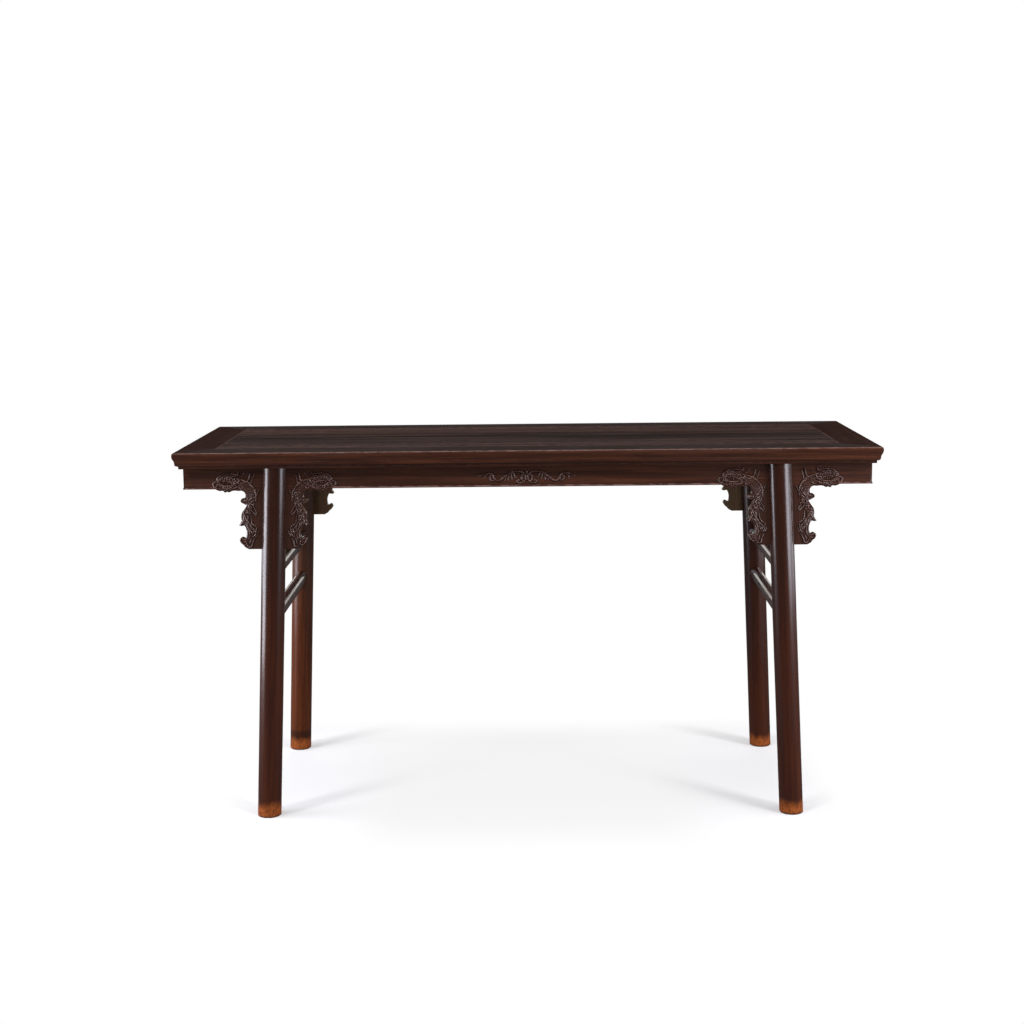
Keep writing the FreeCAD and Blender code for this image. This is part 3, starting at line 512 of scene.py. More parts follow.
def mesh_piece(name, verts, faces, **attributes):
    """A piece whose place is in its mesh; attributes are one number or three for each point."""
    mesh = bpy.data.meshes.new(name)
    mesh.from_pydata([tuple(v) for v in verts], [], [tuple(f) for f in faces])
    for key, values in attributes.items():
        values = np.asarray(values, np.float32)
        kind, field = ("FLOAT_VECTOR", "vector") if values.ndim == 2 else ("FLOAT", "value")
        mesh.attributes.new(key, kind, "POINT").data.foreach_set(field, values.ravel())
    if mesh.validate():
        raise RuntimeError(f"{name} has a broken face")
    return shown(name, mesh)


def settle(piece, material, slot, *nodes):
    """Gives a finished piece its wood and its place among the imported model's nodes."""
    piece.data.materials.clear()
    piece.data.materials.append(material)
    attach(piece, "root")
    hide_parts(*nodes)


def leg_line(down):
    """Distance of a leg's axis from the table's middle at a depth below the frame, in millimetres."""
    s = sizes()
    return s.leg_x / MM + s.splay_end / s.underside * down


def board_place(sheet, rise):
    """Points of the front board, given across it and down it, at a height off its middle plane, in metres."""
    s = sizes()
    lean = atan(s.splay_front / s.underside)
    x, down = sheet.T
    y = -s.leg_y - rise * cos(lean) - down * sin(lean)
    z = s.underside + rise * sin(lean) - down * cos(lean)
    return np.column_stack([x, y, np.minimum(z, s.underside)])


def carve(ring, inner, height, edge):
    """A board's outline filled with carved points: points, faces, and each point's rise and relief."""
    s = sizes()
    if winding(ring) < 0:
        ring = ring[::-1]
    sheet, front = filled(ring, inner)
    _, back = filled(ring, np.empty((0, 2)))
    level = height(sheet)
    gap = np.clip(gaps_to(sheet, edge) * MM / s.eased_edge, 0, 1)
    rise = level - s.eased_edge / MM * (1 - np.sqrt(1 - (1 - gap) ** 2))
    # The carving's ridges are painted lighter, as rubbed wear and painted highlight, and its hollows darker,
    # as
    # dark wax and painted shade: relief says how far each point stands above the wood beside it.
    steps = 1.8 * np.array([(1, 0), (-1, 0), (0, 1), (0, -1)])
    around = sum(height(sheet + step) for step in steps) / len(steps)
    return sheet, front, back, len(ring), rise, np.clip((level - around) * 1.3, -1, 1)


def carved_board(name, carved, flip_x=1, flip_y=1, back_scale=1.0, grain_down=False):
    """A leaning board from its carved points in millimetres, whose far face is plain."""
    sheet, front, back, count, rise, relief = carved
    half = sizes().board_thickness / 2
    face = board_place(sheet * MM, half + rise * MM)
    rear = board_place(sheet[:count] * MM * (back_scale, 1), np.full(count, -half))
    verts = np.vstack([face, rear]) * (flip_x, flip_y, 1)
    i = np.arange(count)
    j = (i + 1) % count
    sides = np.column_stack([i, i + len(face), j + len(face), j])
    faces = [*front.tolist(), *(back[:, ::-1] + len(face)).tolist(), *sides.tolist()]
    a, b, c = (verts[k] for k in front[0])
    if np.cross(b - a, c - a)[1] * -flip_y < 0:
        faces = [f[::-1] for f in faces]
    along = np.vstack([sheet, sheet[:count]])
    along = along[:, ::-1] if grain_down else along
    depth = np.concatenate([half / MM + rise, np.full(count, -half / MM)])
    # Each board is cut from another place in the plank, and its back has lost most of its wax.
    plank = (flip_x * 0.37 + flip_y * 0.61, flip_y * 0.23, flip_x * 0.19)
    return mesh_piece(name, verts, faces, relief=np.concatenate([relief, np.zeros(count)]),
                      bare=np.concatenate([np.zeros(len(face)), np.full(count, 0.7)]),
                      grain=np.column_stack([along, depth]) * MM + plank)


def swept(name, section, ends, axis, wear_and_painted_light, bare=None, tone=None):
    """A member swept along X or Y: a section of (place across, height), with each point's own end."""
    section, ends = np.array(section), np.array(ends)
    count = len(section)
    across, z = section.T
    rings = [np.column_stack([along, across, z] if axis == "x" else [across, along, z])
             for along in (-ends, ends)]
    i = np.arange(count)
    j = (i + 1) % count
    faces = np.column_stack([i, j, j + count, i + count]).tolist()
    faces += [i[::-1].tolist(), (i + count).tolist()]
    if (winding(section) > 0) != (axis == "x"):
        faces = [f[::-1] for f in faces]
    shades = {"relief": wear_and_painted_light, "bare": bare, "tone": tone}
    return mesh_piece(name, np.vstack(rings), faces, **{
        key: np.zeros(2 * count) if values is None else np.tile(values, 2) for key, values in shades.items()})


# Nodes

def add(tree, kind, inputs=(), **settings):
    """Adds a node, whose inputs are given in their order, or by name or number.

    An input is a plain value, a node, a node's output, or a sum written as (operation, term, term)."""
    node = tree.nodes.new(kind)
    for key, value in settings.items():
        setattr(node, key, value)
    for key, value in inputs.items() if isinstance(inputs, dict) else enumerate(inputs):
        if isinstance(value, tuple) and isinstance(value[0], str):
            value = add(tree, "ShaderNodeMath", value[1:], operation=value[0])
        if isinstance(value, bpy.types.Node):
            value = value.outputs[0]
        if isinstance(value, bpy.types.NodeSocket):
            tree.links.new(value, node.inputs[key])
        else:
            node.inputs[key].default_value = value
    return node


def layered(tree, shade, layers):
    """Colours laid over one another, each as strong as the product of its masks."""
    for colour_on_top, share, *masks in layers:
        for mask in masks:
            share = add(tree, "ShaderNodeMath", (share, mask), operation="MULTIPLY")
        shade = add(tree, "ShaderNodeMix", {0: share, 6: shade, 7: (*colour_on_top, 1)},
                    data_type="RGBA").outputs[2]
    return shade


def wood(name, heart, streak, glow, vector="OBJECT", turn=(0, 0, 0), gloss=(0.24, 0.4), wax=0.5, pores=1.0,
         film=0.12, shine=0.3, figure=0.55, fine=0.5, width=1.0, spread=1.0, warm=None, foot=None, raw=None):
    """A planed and wax-polished hardwood whose grain runs along X of its vector before the turn.

    Width and spread widen the growth bands and the streaks; figure, fine and pores say how plainly bands,
    streaks and pores show. Gloss is the wood's own roughness, least and most, and wax is a clear coat whose
    roughness is film. A foot colour bares the feet, and a raw colour shows where the wax is gone."""
    material = bpy.data.materials.new(name)
    material.use_nodes = True
    tree = material.node_tree
    tree.nodes.clear()
    place = add(tree, "ShaderNodeTexCoord").outputs["Object"]
    height = add(tree, "ShaderNodeSeparateXYZ", (place,)).outputs[2]
    if vector != "OBJECT":
        place = add(tree, "ShaderNodeAttribute", attribute_name=vector).outputs["Vector"]
    turned = add(tree, "ShaderNodeMapping", {"Vector": place, "Rotation": turn})
    relief, tone, bare = (add(tree, "ShaderNodeAttribute", attribute_name=key).outputs["Fac"]
                          for key in ("relief", "tone", "bare"))

    def pattern(key, wider=1.0):
        """One of the wood's patterns, stretched along the grain."""
        along, across, detail, rough, warp = GRAIN[key]
        scale = [count / (100 * MM) / wider for count in (along, across, across)]
        stretched = add(tree, "ShaderNodeMapping", {"Vector": turned, "Scale": scale})
        return add(tree, "ShaderNodeTexNoise", {"Vector": stretched, "Scale": 1.0, "Detail": detail,
                                                "Roughness": rough, "Distortion": warp})

    bands = add(tree, "ShaderNodeMapRange", (pattern("band", width), 0.38, 0.66), **SMOOTH)
    streaks = add(tree, "ShaderNodeMapRange", (pattern("streak", spread), 0.42, 0.7), **SMOOTH)
    threads = add(tree, "ShaderNodeMapRange", (pattern("thread"), 0.54, 0.7), **SMOOTH)
    clouds = add(tree, "ShaderNodeMapRange", (pattern("cloud"), 0.34, 0.68), **SMOOTH)
    pore = add(tree, "ShaderNodeMapRange", (pattern("pore"), 0.58, 0.68), **SMOOTH)
    patches = add(tree, "ShaderNodeMapRange", (pattern("rubbed patch"), 0.4, 0.6, 0.2, 1.0), **SMOOTH)
    warmed = add(tree, "ShaderNodeMapRange", (bands, 0.0, 1.0, 0.5, 1.0), **SMOOTH)
    layers = [(glow, bands, figure), (heart, clouds, 0.5), (warm or glow, tone, warmed)]
    if foot:
        # Under the top the legs are painted darker, as painted shade, but where one has dried out it is paler.
        upper = add(tree, "ShaderNodeMapRange", (height, 300 * MM, 620 * MM), **SMOOTH)
        layers.append((streak, upper, ("MULTIPLY", ("SUBTRACT", 1.0, bare), 0.6)))
        bare = add(tree, "ShaderNodeMath", (bare, upper), operation="MULTIPLY")
    if raw:
        # Where the wax is gone, the wood has dried to a dull colour of its own.
        layers.append((raw, bare))
    # Ridges and arrises are painted lighter in places, as rubbed wear and painted highlight; pores hold dark
    # wax, and hollows and creases are painted darker, as dark wax and painted shade.
    ridge = add(tree, "ShaderNodeMapRange", (relief, 0.05, 0.9, 0.0, 0.85), **SMOOTH)
    hollow = add(tree, "ShaderNodeMapRange", (relief, -0.05, -0.6, 0.0, 0.9), **SMOOTH)
    layers += [(glow, threads, 0.5 * fine), (streak, streaks, fine),
               ([c * 0.35 for c in streak], pore, 0.6 * pores),
               (tones().wear_and_painted_light, patches, ridge), ([c * 0.4 for c in streak], hollow)]
    rough = ("ADD", add(tree, "ShaderNodeMapRange", (clouds, 0.0, 1.0, *gloss), **SMOOTH),
             ("MULTIPLY", pore, 0.2 * pores))
    rough = ("ADD", rough, ("MULTIPLY", ("SUBTRACT", streaks, 0.5), 0.1))
    if foot:
        # Mopping and damp have bared the last centimetres of each foot, unevenly, and left stains; the paler
        # leg has a dark tide line above, and each foot is painted darker where it meets the floor, as painted
        # shade.
        uneven = ("MULTIPLY", ("SUBTRACT", pattern("mopped edge"), 0.5), 24 * MM)
        edge = add(tree, "ShaderNodeMath", (height, uneven), operation="ADD")
        worn = add(tree, "ShaderNodeMapRange", (edge, 38 * MM, 12 * MM, 0.0, 0.95), **SMOOTH)
        tide = add(tree, "ShaderNodeMapRange", (edge, 58 * MM, 46 * MM), **SMOOTH)
        stains = add(tree, "ShaderNodeMapRange", (pattern("stain"), 0.42, 0.66, 0.0, 0.6), **SMOOTH)
        foot_contact_shade = add(tree, "ShaderNodeMapRange", (height, 6 * MM, 0.0, 0.0, 0.85), **SMOOTH)
        layers += [(streak, tide, tone, 0.7), (foot, worn), (streak, worn, stains), (streak, foot_contact_shade)]
        rough = ("ADD", rough, ("MULTIPLY", worn, 0.25))
    waxed = wax
    if raw:
        rough = ("ADD", rough, ("MULTIPLY", bare, 0.3))
        waxed = ("MULTIPLY", ("SUBTRACT", 1.0, bare), wax)
    depth = ("ADD", ("MULTIPLY", pore, -1.0 * pores), ("MULTIPLY", streaks, -0.35))
    grain = add(tree, "ShaderNodeBump", {"Strength": 0.5, "Distance": 0.1 * MM, "Height": depth})
    planed = add(tree, "ShaderNodeBump", {"Strength": 0.3, "Distance": 0.4 * MM,
                                          "Height": pattern("plane mark"), "Normal": grain})
    shader = add(tree, "ShaderNodeBsdfPrincipled", {
        "Base Color": layered(tree, (*heart, 1), layers), "Roughness": rough, "Normal": planed, "IOR": 1.5,
        "Specular IOR Level": shine, "Coat Weight": waxed, "Coat Roughness": film, "Coat IOR": 1.5})
    add(tree, "ShaderNodeOutputMaterial", {"Surface": shader})
    return material


def started(name, sockets):
    """A new geometry tree with named inputs of some kinds, and those inputs."""
    tree = bpy.data.node_groups.new(name, "GeometryNodeTree")
    tree.interface.new_socket("Geometry", in_out="OUTPUT", socket_type="NodeSocketGeometry")
    for kind, titles in sockets.items():
        for title in titles:
            tree.interface.new_socket(title, in_out="INPUT", socket_type="NodeSocket" + kind)
    return tree, add(tree, "NodeGroupInput").outputs


def ended(tree, shape, material):
    """Ends a geometry tree with real faces that carry their material."""
    real = add(tree, "GeometryNodeRealizeInstances", {"Geometry": shape})
    painted = add(tree, "GeometryNodeSetMaterial", {"Geometry": real, "Material": material})
    add(tree, "NodeGroupOutput", {"Geometry": painted})
    return tree


def round_member():
    """The node tree of a straight round or oval member, given upright and then leant, turned and moved."""
    tree, given = started("round member", {
        "Float": ("Half Width", "Half Depth", "Length", "Foot Round", "Crowding", "Unevenness", "Tone",
                  "Dryness"),
        "Vector": ("Lean", "Turn", "Place", "Grain Shift"), "Material": ("Material",)})
    rod = add(tree, "GeometryNodeMeshCylinder", {"Vertices": 96, "Side Segments": 150, "Radius": 1.0,
                                                 "Depth": 1.0})
    at = add(tree, "ShaderNodeSeparateXYZ", (add(tree, "GeometryNodeInputPosition"),)).outputs
    # The rings of the rod crowd towards its foot, where the edge is rounded.
    share = add(tree, "ShaderNodeMath", (at[2], 0.5), operation="ADD", use_clamp=True)
    z = add(tree, "ShaderNodeMath", (("POWER", share, given["Crowding"]), given["Length"]),
            operation="MULTIPLY")
    # The foot's edge is a quarter round: its depth goes from the full rounding to nothing.
    near = add(tree, "ShaderNodeMath", (1.0, ("DIVIDE", z, given["Foot Round"])), operation="SUBTRACT",
               use_clamp=True)
    quarter = ("SUBTRACT", 1.0, ("SQRT", ("SUBTRACT", 1.0, ("MULTIPLY", near, near))))
    drop = add(tree, "ShaderNodeMath", (given["Foot Round"], quarter), operation="MULTIPLY")
    # The plane has left the member a little uneven, in long waves.
    waves = add(tree, "ShaderNodeCombineXYZ", (("MULTIPLY", at[0], 0.03), ("MULTIPLY", at[1], 0.03),
                                               ("MULTIPLY", z, 0.5)))
    waves = add(tree, "ShaderNodeVectorMath", (waves, given["Grain Shift"]), operation="ADD")
    waves = add(tree, "ShaderNodeTexNoise", {"Vector": waves, "Scale": 16.0, "Detail": 1.0})
    wobble = add(tree, "ShaderNodeMath", (("SUBTRACT", waves, 0.5), given["Unevenness"]),
                 operation="MULTIPLY")
    wide, deep = (("ADD", ("SUBTRACT", given[half], drop), wobble) for half in ("Half Width", "Half Depth"))
    upright = add(tree, "ShaderNodeCombineXYZ", (("MULTIPLY", at[0], wide), ("MULTIPLY", at[1], deep), z))
    lean = add(tree, "ShaderNodeVectorMath", {0: given["Lean"], "Scale": z}, operation="SCALE")
    leant = add(tree, "ShaderNodeVectorMath", (upright, lean), operation="ADD")
    x, y, up = add(tree, "ShaderNodeSeparateXYZ", (upright,)).outputs
    grain = add(tree, "ShaderNodeVectorMath", (add(tree, "ShaderNodeCombineXYZ", (up, x, y)),
                                               given["Grain Shift"]), operation="ADD")
    kept = add(tree, "GeometryNodeCaptureAttribute", {"Geometry": rod})
    kept.capture_items.new("VECTOR", "grain")
    tree.links.new(grain.outputs[0], kept.inputs[1])
    shaped = add(tree, "GeometryNodeSetPosition", {"Geometry": kept, "Position": leant})
    for key, value, kind in (("grain", kept.outputs[1], "FLOAT_VECTOR"), ("tone", given["Tone"], "FLOAT"),
                             ("bare", given["Dryness"], "FLOAT")):
        shaped = add(tree, "GeometryNodeStoreNamedAttribute", {
            "Geometry": shaped, "Name": key, "Value": value}, data_type=kind, domain="POINT")
    moved = add(tree, "GeometryNodeTransform", {"Geometry": shaped, "Translation": given["Place"],
                                                "Rotation": given["Turn"]})
    return ended(tree, moved, given["Material"])


def brace_row():
    """The node tree of the row of like cross braces."""
    tree, given = started("brace row", {"Vector": ("Size", "Place"), "Float": ("Spacing",), "Int": ("Count",),
                                        "Material": ("Material",)})
    bar = add(tree, "GeometryNodeMeshCube", {"Size": given["Size"]})
    step = add(tree, "ShaderNodeCombineXYZ", (given["Spacing"],))
    row = add(tree, "GeometryNodeMeshLine", {"Count": given["Count"], "Start Location": given["Place"],
                                             "Offset": step})
    set_out = add(tree, "GeometryNodeInstanceOnPoints", {"Points": row, "Instance": bar})
    return ended(tree, set_out, given["Material"])


def grown(name, tree, values):
    """A piece made by a node tree from its named inputs, turned into a plain mesh."""
    seed = bpy.data.objects.new(name + "_seed", bpy.data.meshes.new(name + "_seed"))
    bpy.context.scene.collection.objects.link(seed)
    modifier = seed.modifiers.new("shape", "NODES")
    modifier.node_group = tree
    ids = {item.name: item.identifier for item in tree.interface.items_tree
           if item.item_type == "SOCKET" and item.in_out == "INPUT"}
    for key, value in values.items():
        modifier[ids[key]] = value
    seed.update_tag()
    view = bpy.context.evaluated_depsgraph_get()
    mesh = bpy.data.meshes.new_from_object(seed.evaluated_get(view))
    seed.modifiers.remove(modifier)
    bpy.data.objects.remove(seed)
    return shown(name, mesh)


# Operators, one for each group of like pieces

class ALTAR_OT_frame(bpy.types.Operator):
    """Builds the mitred, moulded frame"""
    bl_idname = "altar.frame"
    bl_label = "Frame"

    def execute(self, context):
        s, t = sizes(), tones()
        width, thick = s.rail_width / MM, s.rail_thickness / MM
        # The inner edge beside the panel, whose top arris is painted lighter, as rubbed wear and painted
        # highlight.
        inner = [(width - 0.6, thick, 0.0), (width, thick - 0.6, 0.0), (width, 0.45, 0.2),
                 (width - 0.15, 0.13, 0.6), (width - 0.5, 0, 0.8), (width - 1.5, 0, 0.5), (width - 3, 0, 0.0)]
        inset, drop, wear_and_painted_light = np.array(MOULDING + inner).T
        # Dense hardwood, planed, moulded and waxed, and dusted daily: a satin face on which the figure shows,
        # with the arrises and the moulding's lines painted lighter, as rubbed wear and painted highlight, the
        # turned-under face painted darker, as dark wax and painted shade, and a top that has lost its wax.
        material = wood("waxed_hardwood_moulded_rail", t.heart, t.streak, t.glow, wax=0.3, shine=0.3,
                        figure=0.8, fine=0.6, raw=t.top)
        # The same wood with its grain along the ends, where it was waxed less: darker and duller.
        turned = wood("waxed_hardwood_moulded_end_rail", t.heart, t.streak, t.glow, turn=ACROSS, wax=0.2,
                      shine=0.2, figure=0.6, raw=t.streak)
        worn_top = (drop < 0.1).astype(float)
        z = s.underside + (thick - drop) * MM
        # Half the hairline that each mitre shows.
        joint = 0.05
        for side, sign in (("front", -1), ("rear", 1)):
            across = sign * (s.table_depth / 2 - inset * MM)
            ends = s.table_length / 2 - (inset + joint) * MM
            piece = swept(f"rail_{side}", np.column_stack([across, z]), ends, "x", wear_and_painted_light, 0.85 * worn_top)
            settle(piece, material, "frame", f"top_rail_{side}")
        for side, sign in (("left", -1), ("right", 1)):
            across = sign * (s.table_length / 2 - inset * MM)
            ends = s.table_depth / 2 - (inset + joint) * MM
            piece = swept(f"rail_{side}", np.column_stack([across, z]), ends, "y", wear_and_painted_light, 0.8 * worn_top)
            settle(piece, turned, "frame", f"top_rail_{side}")
        return {"FINISHED"}


class ALTAR_OT_panel(bpy.types.Operator):
    """Builds the two boards of the floating panel"""
    bl_idname = "altar.panel"
    bl_label = "Panel"

    def execute(self, context):
        s, t = sizes(), tones()
        # The same hardwood, planed flat and oiled. As the working surface it has lost its polish: it is matt,
        # greyer, and open in the pores.
        material = wood("oiled_hardwood_worn_panel", t.top, t.top_streak, t.top_glow, gloss=(0.58, 0.58),
                        wax=0.0, pores=1.2, shine=0.1, figure=0.9, fine=1.5, width=1.5, spread=4.5,
                        warm=t.leg_glow)
        # The hairline round the panel, and the rounding of its boards' edges.
        gap, ease = 0.25 * MM, 0.5 * MM
        inner_x = s.table_length / 2 - s.rail_width - gap
        inner_y = s.table_depth / 2 - s.rail_width - gap
        top, low = s.table_height - 0.15 * MM, s.table_height - s.panel_thickness
        for side, sign in (("front", -1), ("rear", 1)):
            near, far = sign * 0.05 * MM, sign * inner_y
            section = [(near, low), (far, low), (far, top - ease),
                       (far - sign * 0.3 * ease, top - 0.3 * ease), (far - sign * ease, top),
                       (near + sign * 0.5 * ease, top), (near + sign * 0.12 * ease, top - 0.15 * ease),
                       (near, top - 0.5 * ease)]
            # The outer edge's round is painted lighter, as rubbed wear and painted highlight; the seam is a
            # dark joint.
            wear_and_painted_light = [0, 0, 0.2, 0.7, 0.4, 0.1, 0.2, -0.3]
            # The panel is redder towards the rear, which the daily wear reaches less.
            red = np.clip(np.array(section)[:, 0] / abs(far) * 0.2 + 0.1, 0, 1)
            piece = swept(f"panel_{side}", section, [inner_x] * len(section), "x", wear_and_painted_light, tone=red)
            settle(piece, material, "panel", f"panel_board_{side}")
        return {"FINISHED"}


class ALTAR_OT_braces(bpy.types.Operator):
    """Builds the cross braces under the panel"""
    bl_idname = "altar.braces"
    bl_label = "Cross braces"

    def execute(self, context):
        s, t = sizes(), tones()
        # Hardwood as it comes from the plane, never waxed: matt, with no highlight.
        material = wood("planed_hardwood_brace", t.heart, t.streak, t.glow, turn=ACROSS, gloss=(0.55, 0.7),
                        wax=0.0, shine=0.3)
        low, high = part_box("cross_brace_1")
        top = s.table_height - s.panel_thickness
        size = (high[0] - low[0], s.table_depth - 2 * s.rail_width, top - low[2])
        place = ((low[0] + high[0]) / 2, 0.0, (low[2] + top) / 2)
        piece = grown("cross_braces", brace_row(), {"Size": size, "Place": place, "Spacing": s.brace_spacing,
                                                    "Count": 4, "Material": material})
        eased = piece.modifiers.new("eased edges", "BEVEL")
        eased.width, eased.segments, eased.limit_method = 1.2 * MM, 2, "ANGLE"
        settle(piece, material, "brace", *(f"cross_brace_{i}" for i in range(1, 5)))
        return {"FINISHED"}


class ALTAR_OT_legs(bpy.types.Operator):
    """Builds the four round, splayed legs"""
    bl_idname = "altar.legs"
    bl_label = "Legs"

    def execute(self, context):
        s, t = sizes(), tones()
        # Hardwood planed round, scraped and waxed many times: a deep red-brown with long, soft highlights,
        # bared at the foot by mopping and painted darker under the top and at the floor, as painted shade. The
        # rear left leg has dried out and is paler.
        material = wood("waxed_hardwood_round_leg", t.leg, t.streak, t.leg_glow, vector="grain", foot=t.foot,
                        raw=t.dry, gloss=(0.3, 0.42), wax=0.9, film=0.22, shine=0.12, figure=0.3, fine=0.45)
        tree = round_member()
        for end, x in (("left", -1), ("right", 1)):
            for side, y in (("front", -1), ("rear", 1)):
                dried = (side, end) == ("rear", "left")
                foot = (x * (s.leg_x + s.splay_end), y * (s.leg_y + s.splay_front), 0.0)
                lean = (-x * s.splay_end / s.underside, -y * s.splay_front / s.underside, 0.0)
                plank = (x * 1.3, y * 0.7, x * y * 0.4)
                piece = grown(f"leg_round_{side}_{end}", tree, {
                    "Half Width": s.leg_radius, "Half Depth": s.leg_radius, "Length": s.underside,
                    "Foot Round": s.foot_round, "Crowding": 2.0, "Lean": lean, "Turn": (0.0, 0.0, 0.0),
                    "Place": foot, "Unevenness": 0.4 * MM, "Grain Shift": plank,
                    "Tone": 0.9 if dried else 0.0, "Dryness": 0.8 if dried else 0.0, "Material": material})
                settle(piece, material, "leg", f"leg_{side}_{end}")
        return {"FINISHED"}


class ALTAR_OT_stretchers(bpy.types.Operator):
    """Builds the paired oval stretchers of both ends"""
    bl_idname = "altar.stretchers"
    bl_label = "Stretchers"

    def execute(self, context):
        s, t = sizes(), tones()
        # Hardwood planed oval and waxed, then polished by shoes and cloths: the glossiest wood of the table,
        # with a narrow, clear highlight along it.
        material = wood("waxed_hardwood_oval_stretcher", t.heart, t.streak, t.glow, vector="grain",
                        gloss=(0.2, 0.3), wax=0.5, film=0.05, shine=0.2, figure=0.4)
        tree = bpy.data.node_groups["round member"]
        for name, drop in (("upper", s.stretcher_drop), ("lower", s.stretcher_drop + s.stretcher_pitch)):
            share = drop / s.underside
            x = s.leg_x + s.splay_end * share
            reach = s.leg_y + s.splay_front * share
            for end, sign in (("left", -1), ("right", 1)):
                # A quarter turn about X lays the upright member along Y, its depth becoming its height.
                piece = grown(f"stretcher_oval_{name}_{end}", tree, {
                    "Half Width": s.stretcher_width / 2, "Half Depth": s.stretcher_height / 2,
                    "Length": 2 * reach, "Foot Round": 0.1 * MM, "Crowding": 1.0, "Lean": (0.0, 0.0, 0.0),
                    "Turn": (-pi / 2, 0.0, 0.0), "Place": (sign * x, -reach, s.underside - drop),
                    "Unevenness": 0.3 * MM, "Grain Shift": (sign * 2.1, share * 3, 0.3), "Tone": 0.0,
                    "Dryness": 0.0, "Material": material})
                settle(piece, material, "stretcher", f"stretcher_{name}_{end}")
        return {"FINISHED"}


class ALTAR_OT_spandrels(bpy.types.Operator):
    """Carves the four spandrels"""
    bl_idname = "altar.spandrels"
    bl_label = "Spandrels"

    def execute(self, context):
        s, t = sizes(), tones()
        # Hardwood carved in low relief and waxed with a brush: half matt, with the ridges painted lighter, as
        # rubbed wear and painted highlight, and the hollows darker, as dark wax and painted shade; the plain
        # back is dry and dull.
        material = wood("waxed_hardwood_carved_spandrel", t.heart, t.streak, t.glow, vector="grain",
                        gloss=(0.4, 0.55), wax=0.8, film=0.2, shine=0.2, figure=0.3, fine=0.35, raw=t.raw)
        step = s.carving_grid / MM
        above, height, reach = s.apron_height / MM, s.spandrel_height / MM, s.spandrel_reach / MM
        rows = [(out * reach, above + down * height, bulge) for out, down, bulge in WING_SHARES]
        wing = [np.array([rows[0][:2]])]
        for start, end in zip(rows, rows[1:]):
            wing.append(arc(start[:2], end[:2], end[2], step))
        hidden = s.leg_radius / MM - LEG_LAP
        foot = np.array([[out, above + height] for out in np.arange(rows[-1][0] - step, hidden, -step)])
        head = np.array([[out, above] for out in np.arange(hidden, rows[0][0] - step / 2, step)])
        wing = np.vstack(wing + [foot])
        ring = np.vstack([wing, wing[::-1] * (-1, 1), head[::-1] * (-1, 1), head])
        inner = grid((hidden, above + step), (rows[0][0] + step, above + height), step)
        inner = inner[inside(inner, ring)]
        inner = inner[gaps_to(inner, ring) > 0.6 * step]
        inner = np.vstack([inner, inner * (-1, 1)])
        edge = ring[ring[:, 1] > above + 0.01]
        sheet, *rest = carve(ring, inner, lambda points: dragon(folded(points)), edge)
        sheet = sheet + np.column_stack([leg_line(sheet[:, 1]), np.zeros(len(sheet))])
        for end, x in (("left", -1), ("right", 1)):
            for side, y in (("front", 1), ("rear", -1)):
                piece = carved_board(f"spandrel_carved_{side}_{end}", (sheet, *rest), x, y, grain_down=True)
                settle(piece, material, "spandrel", f"spandrel_{side}_{end}")
        return {"FINISHED"}


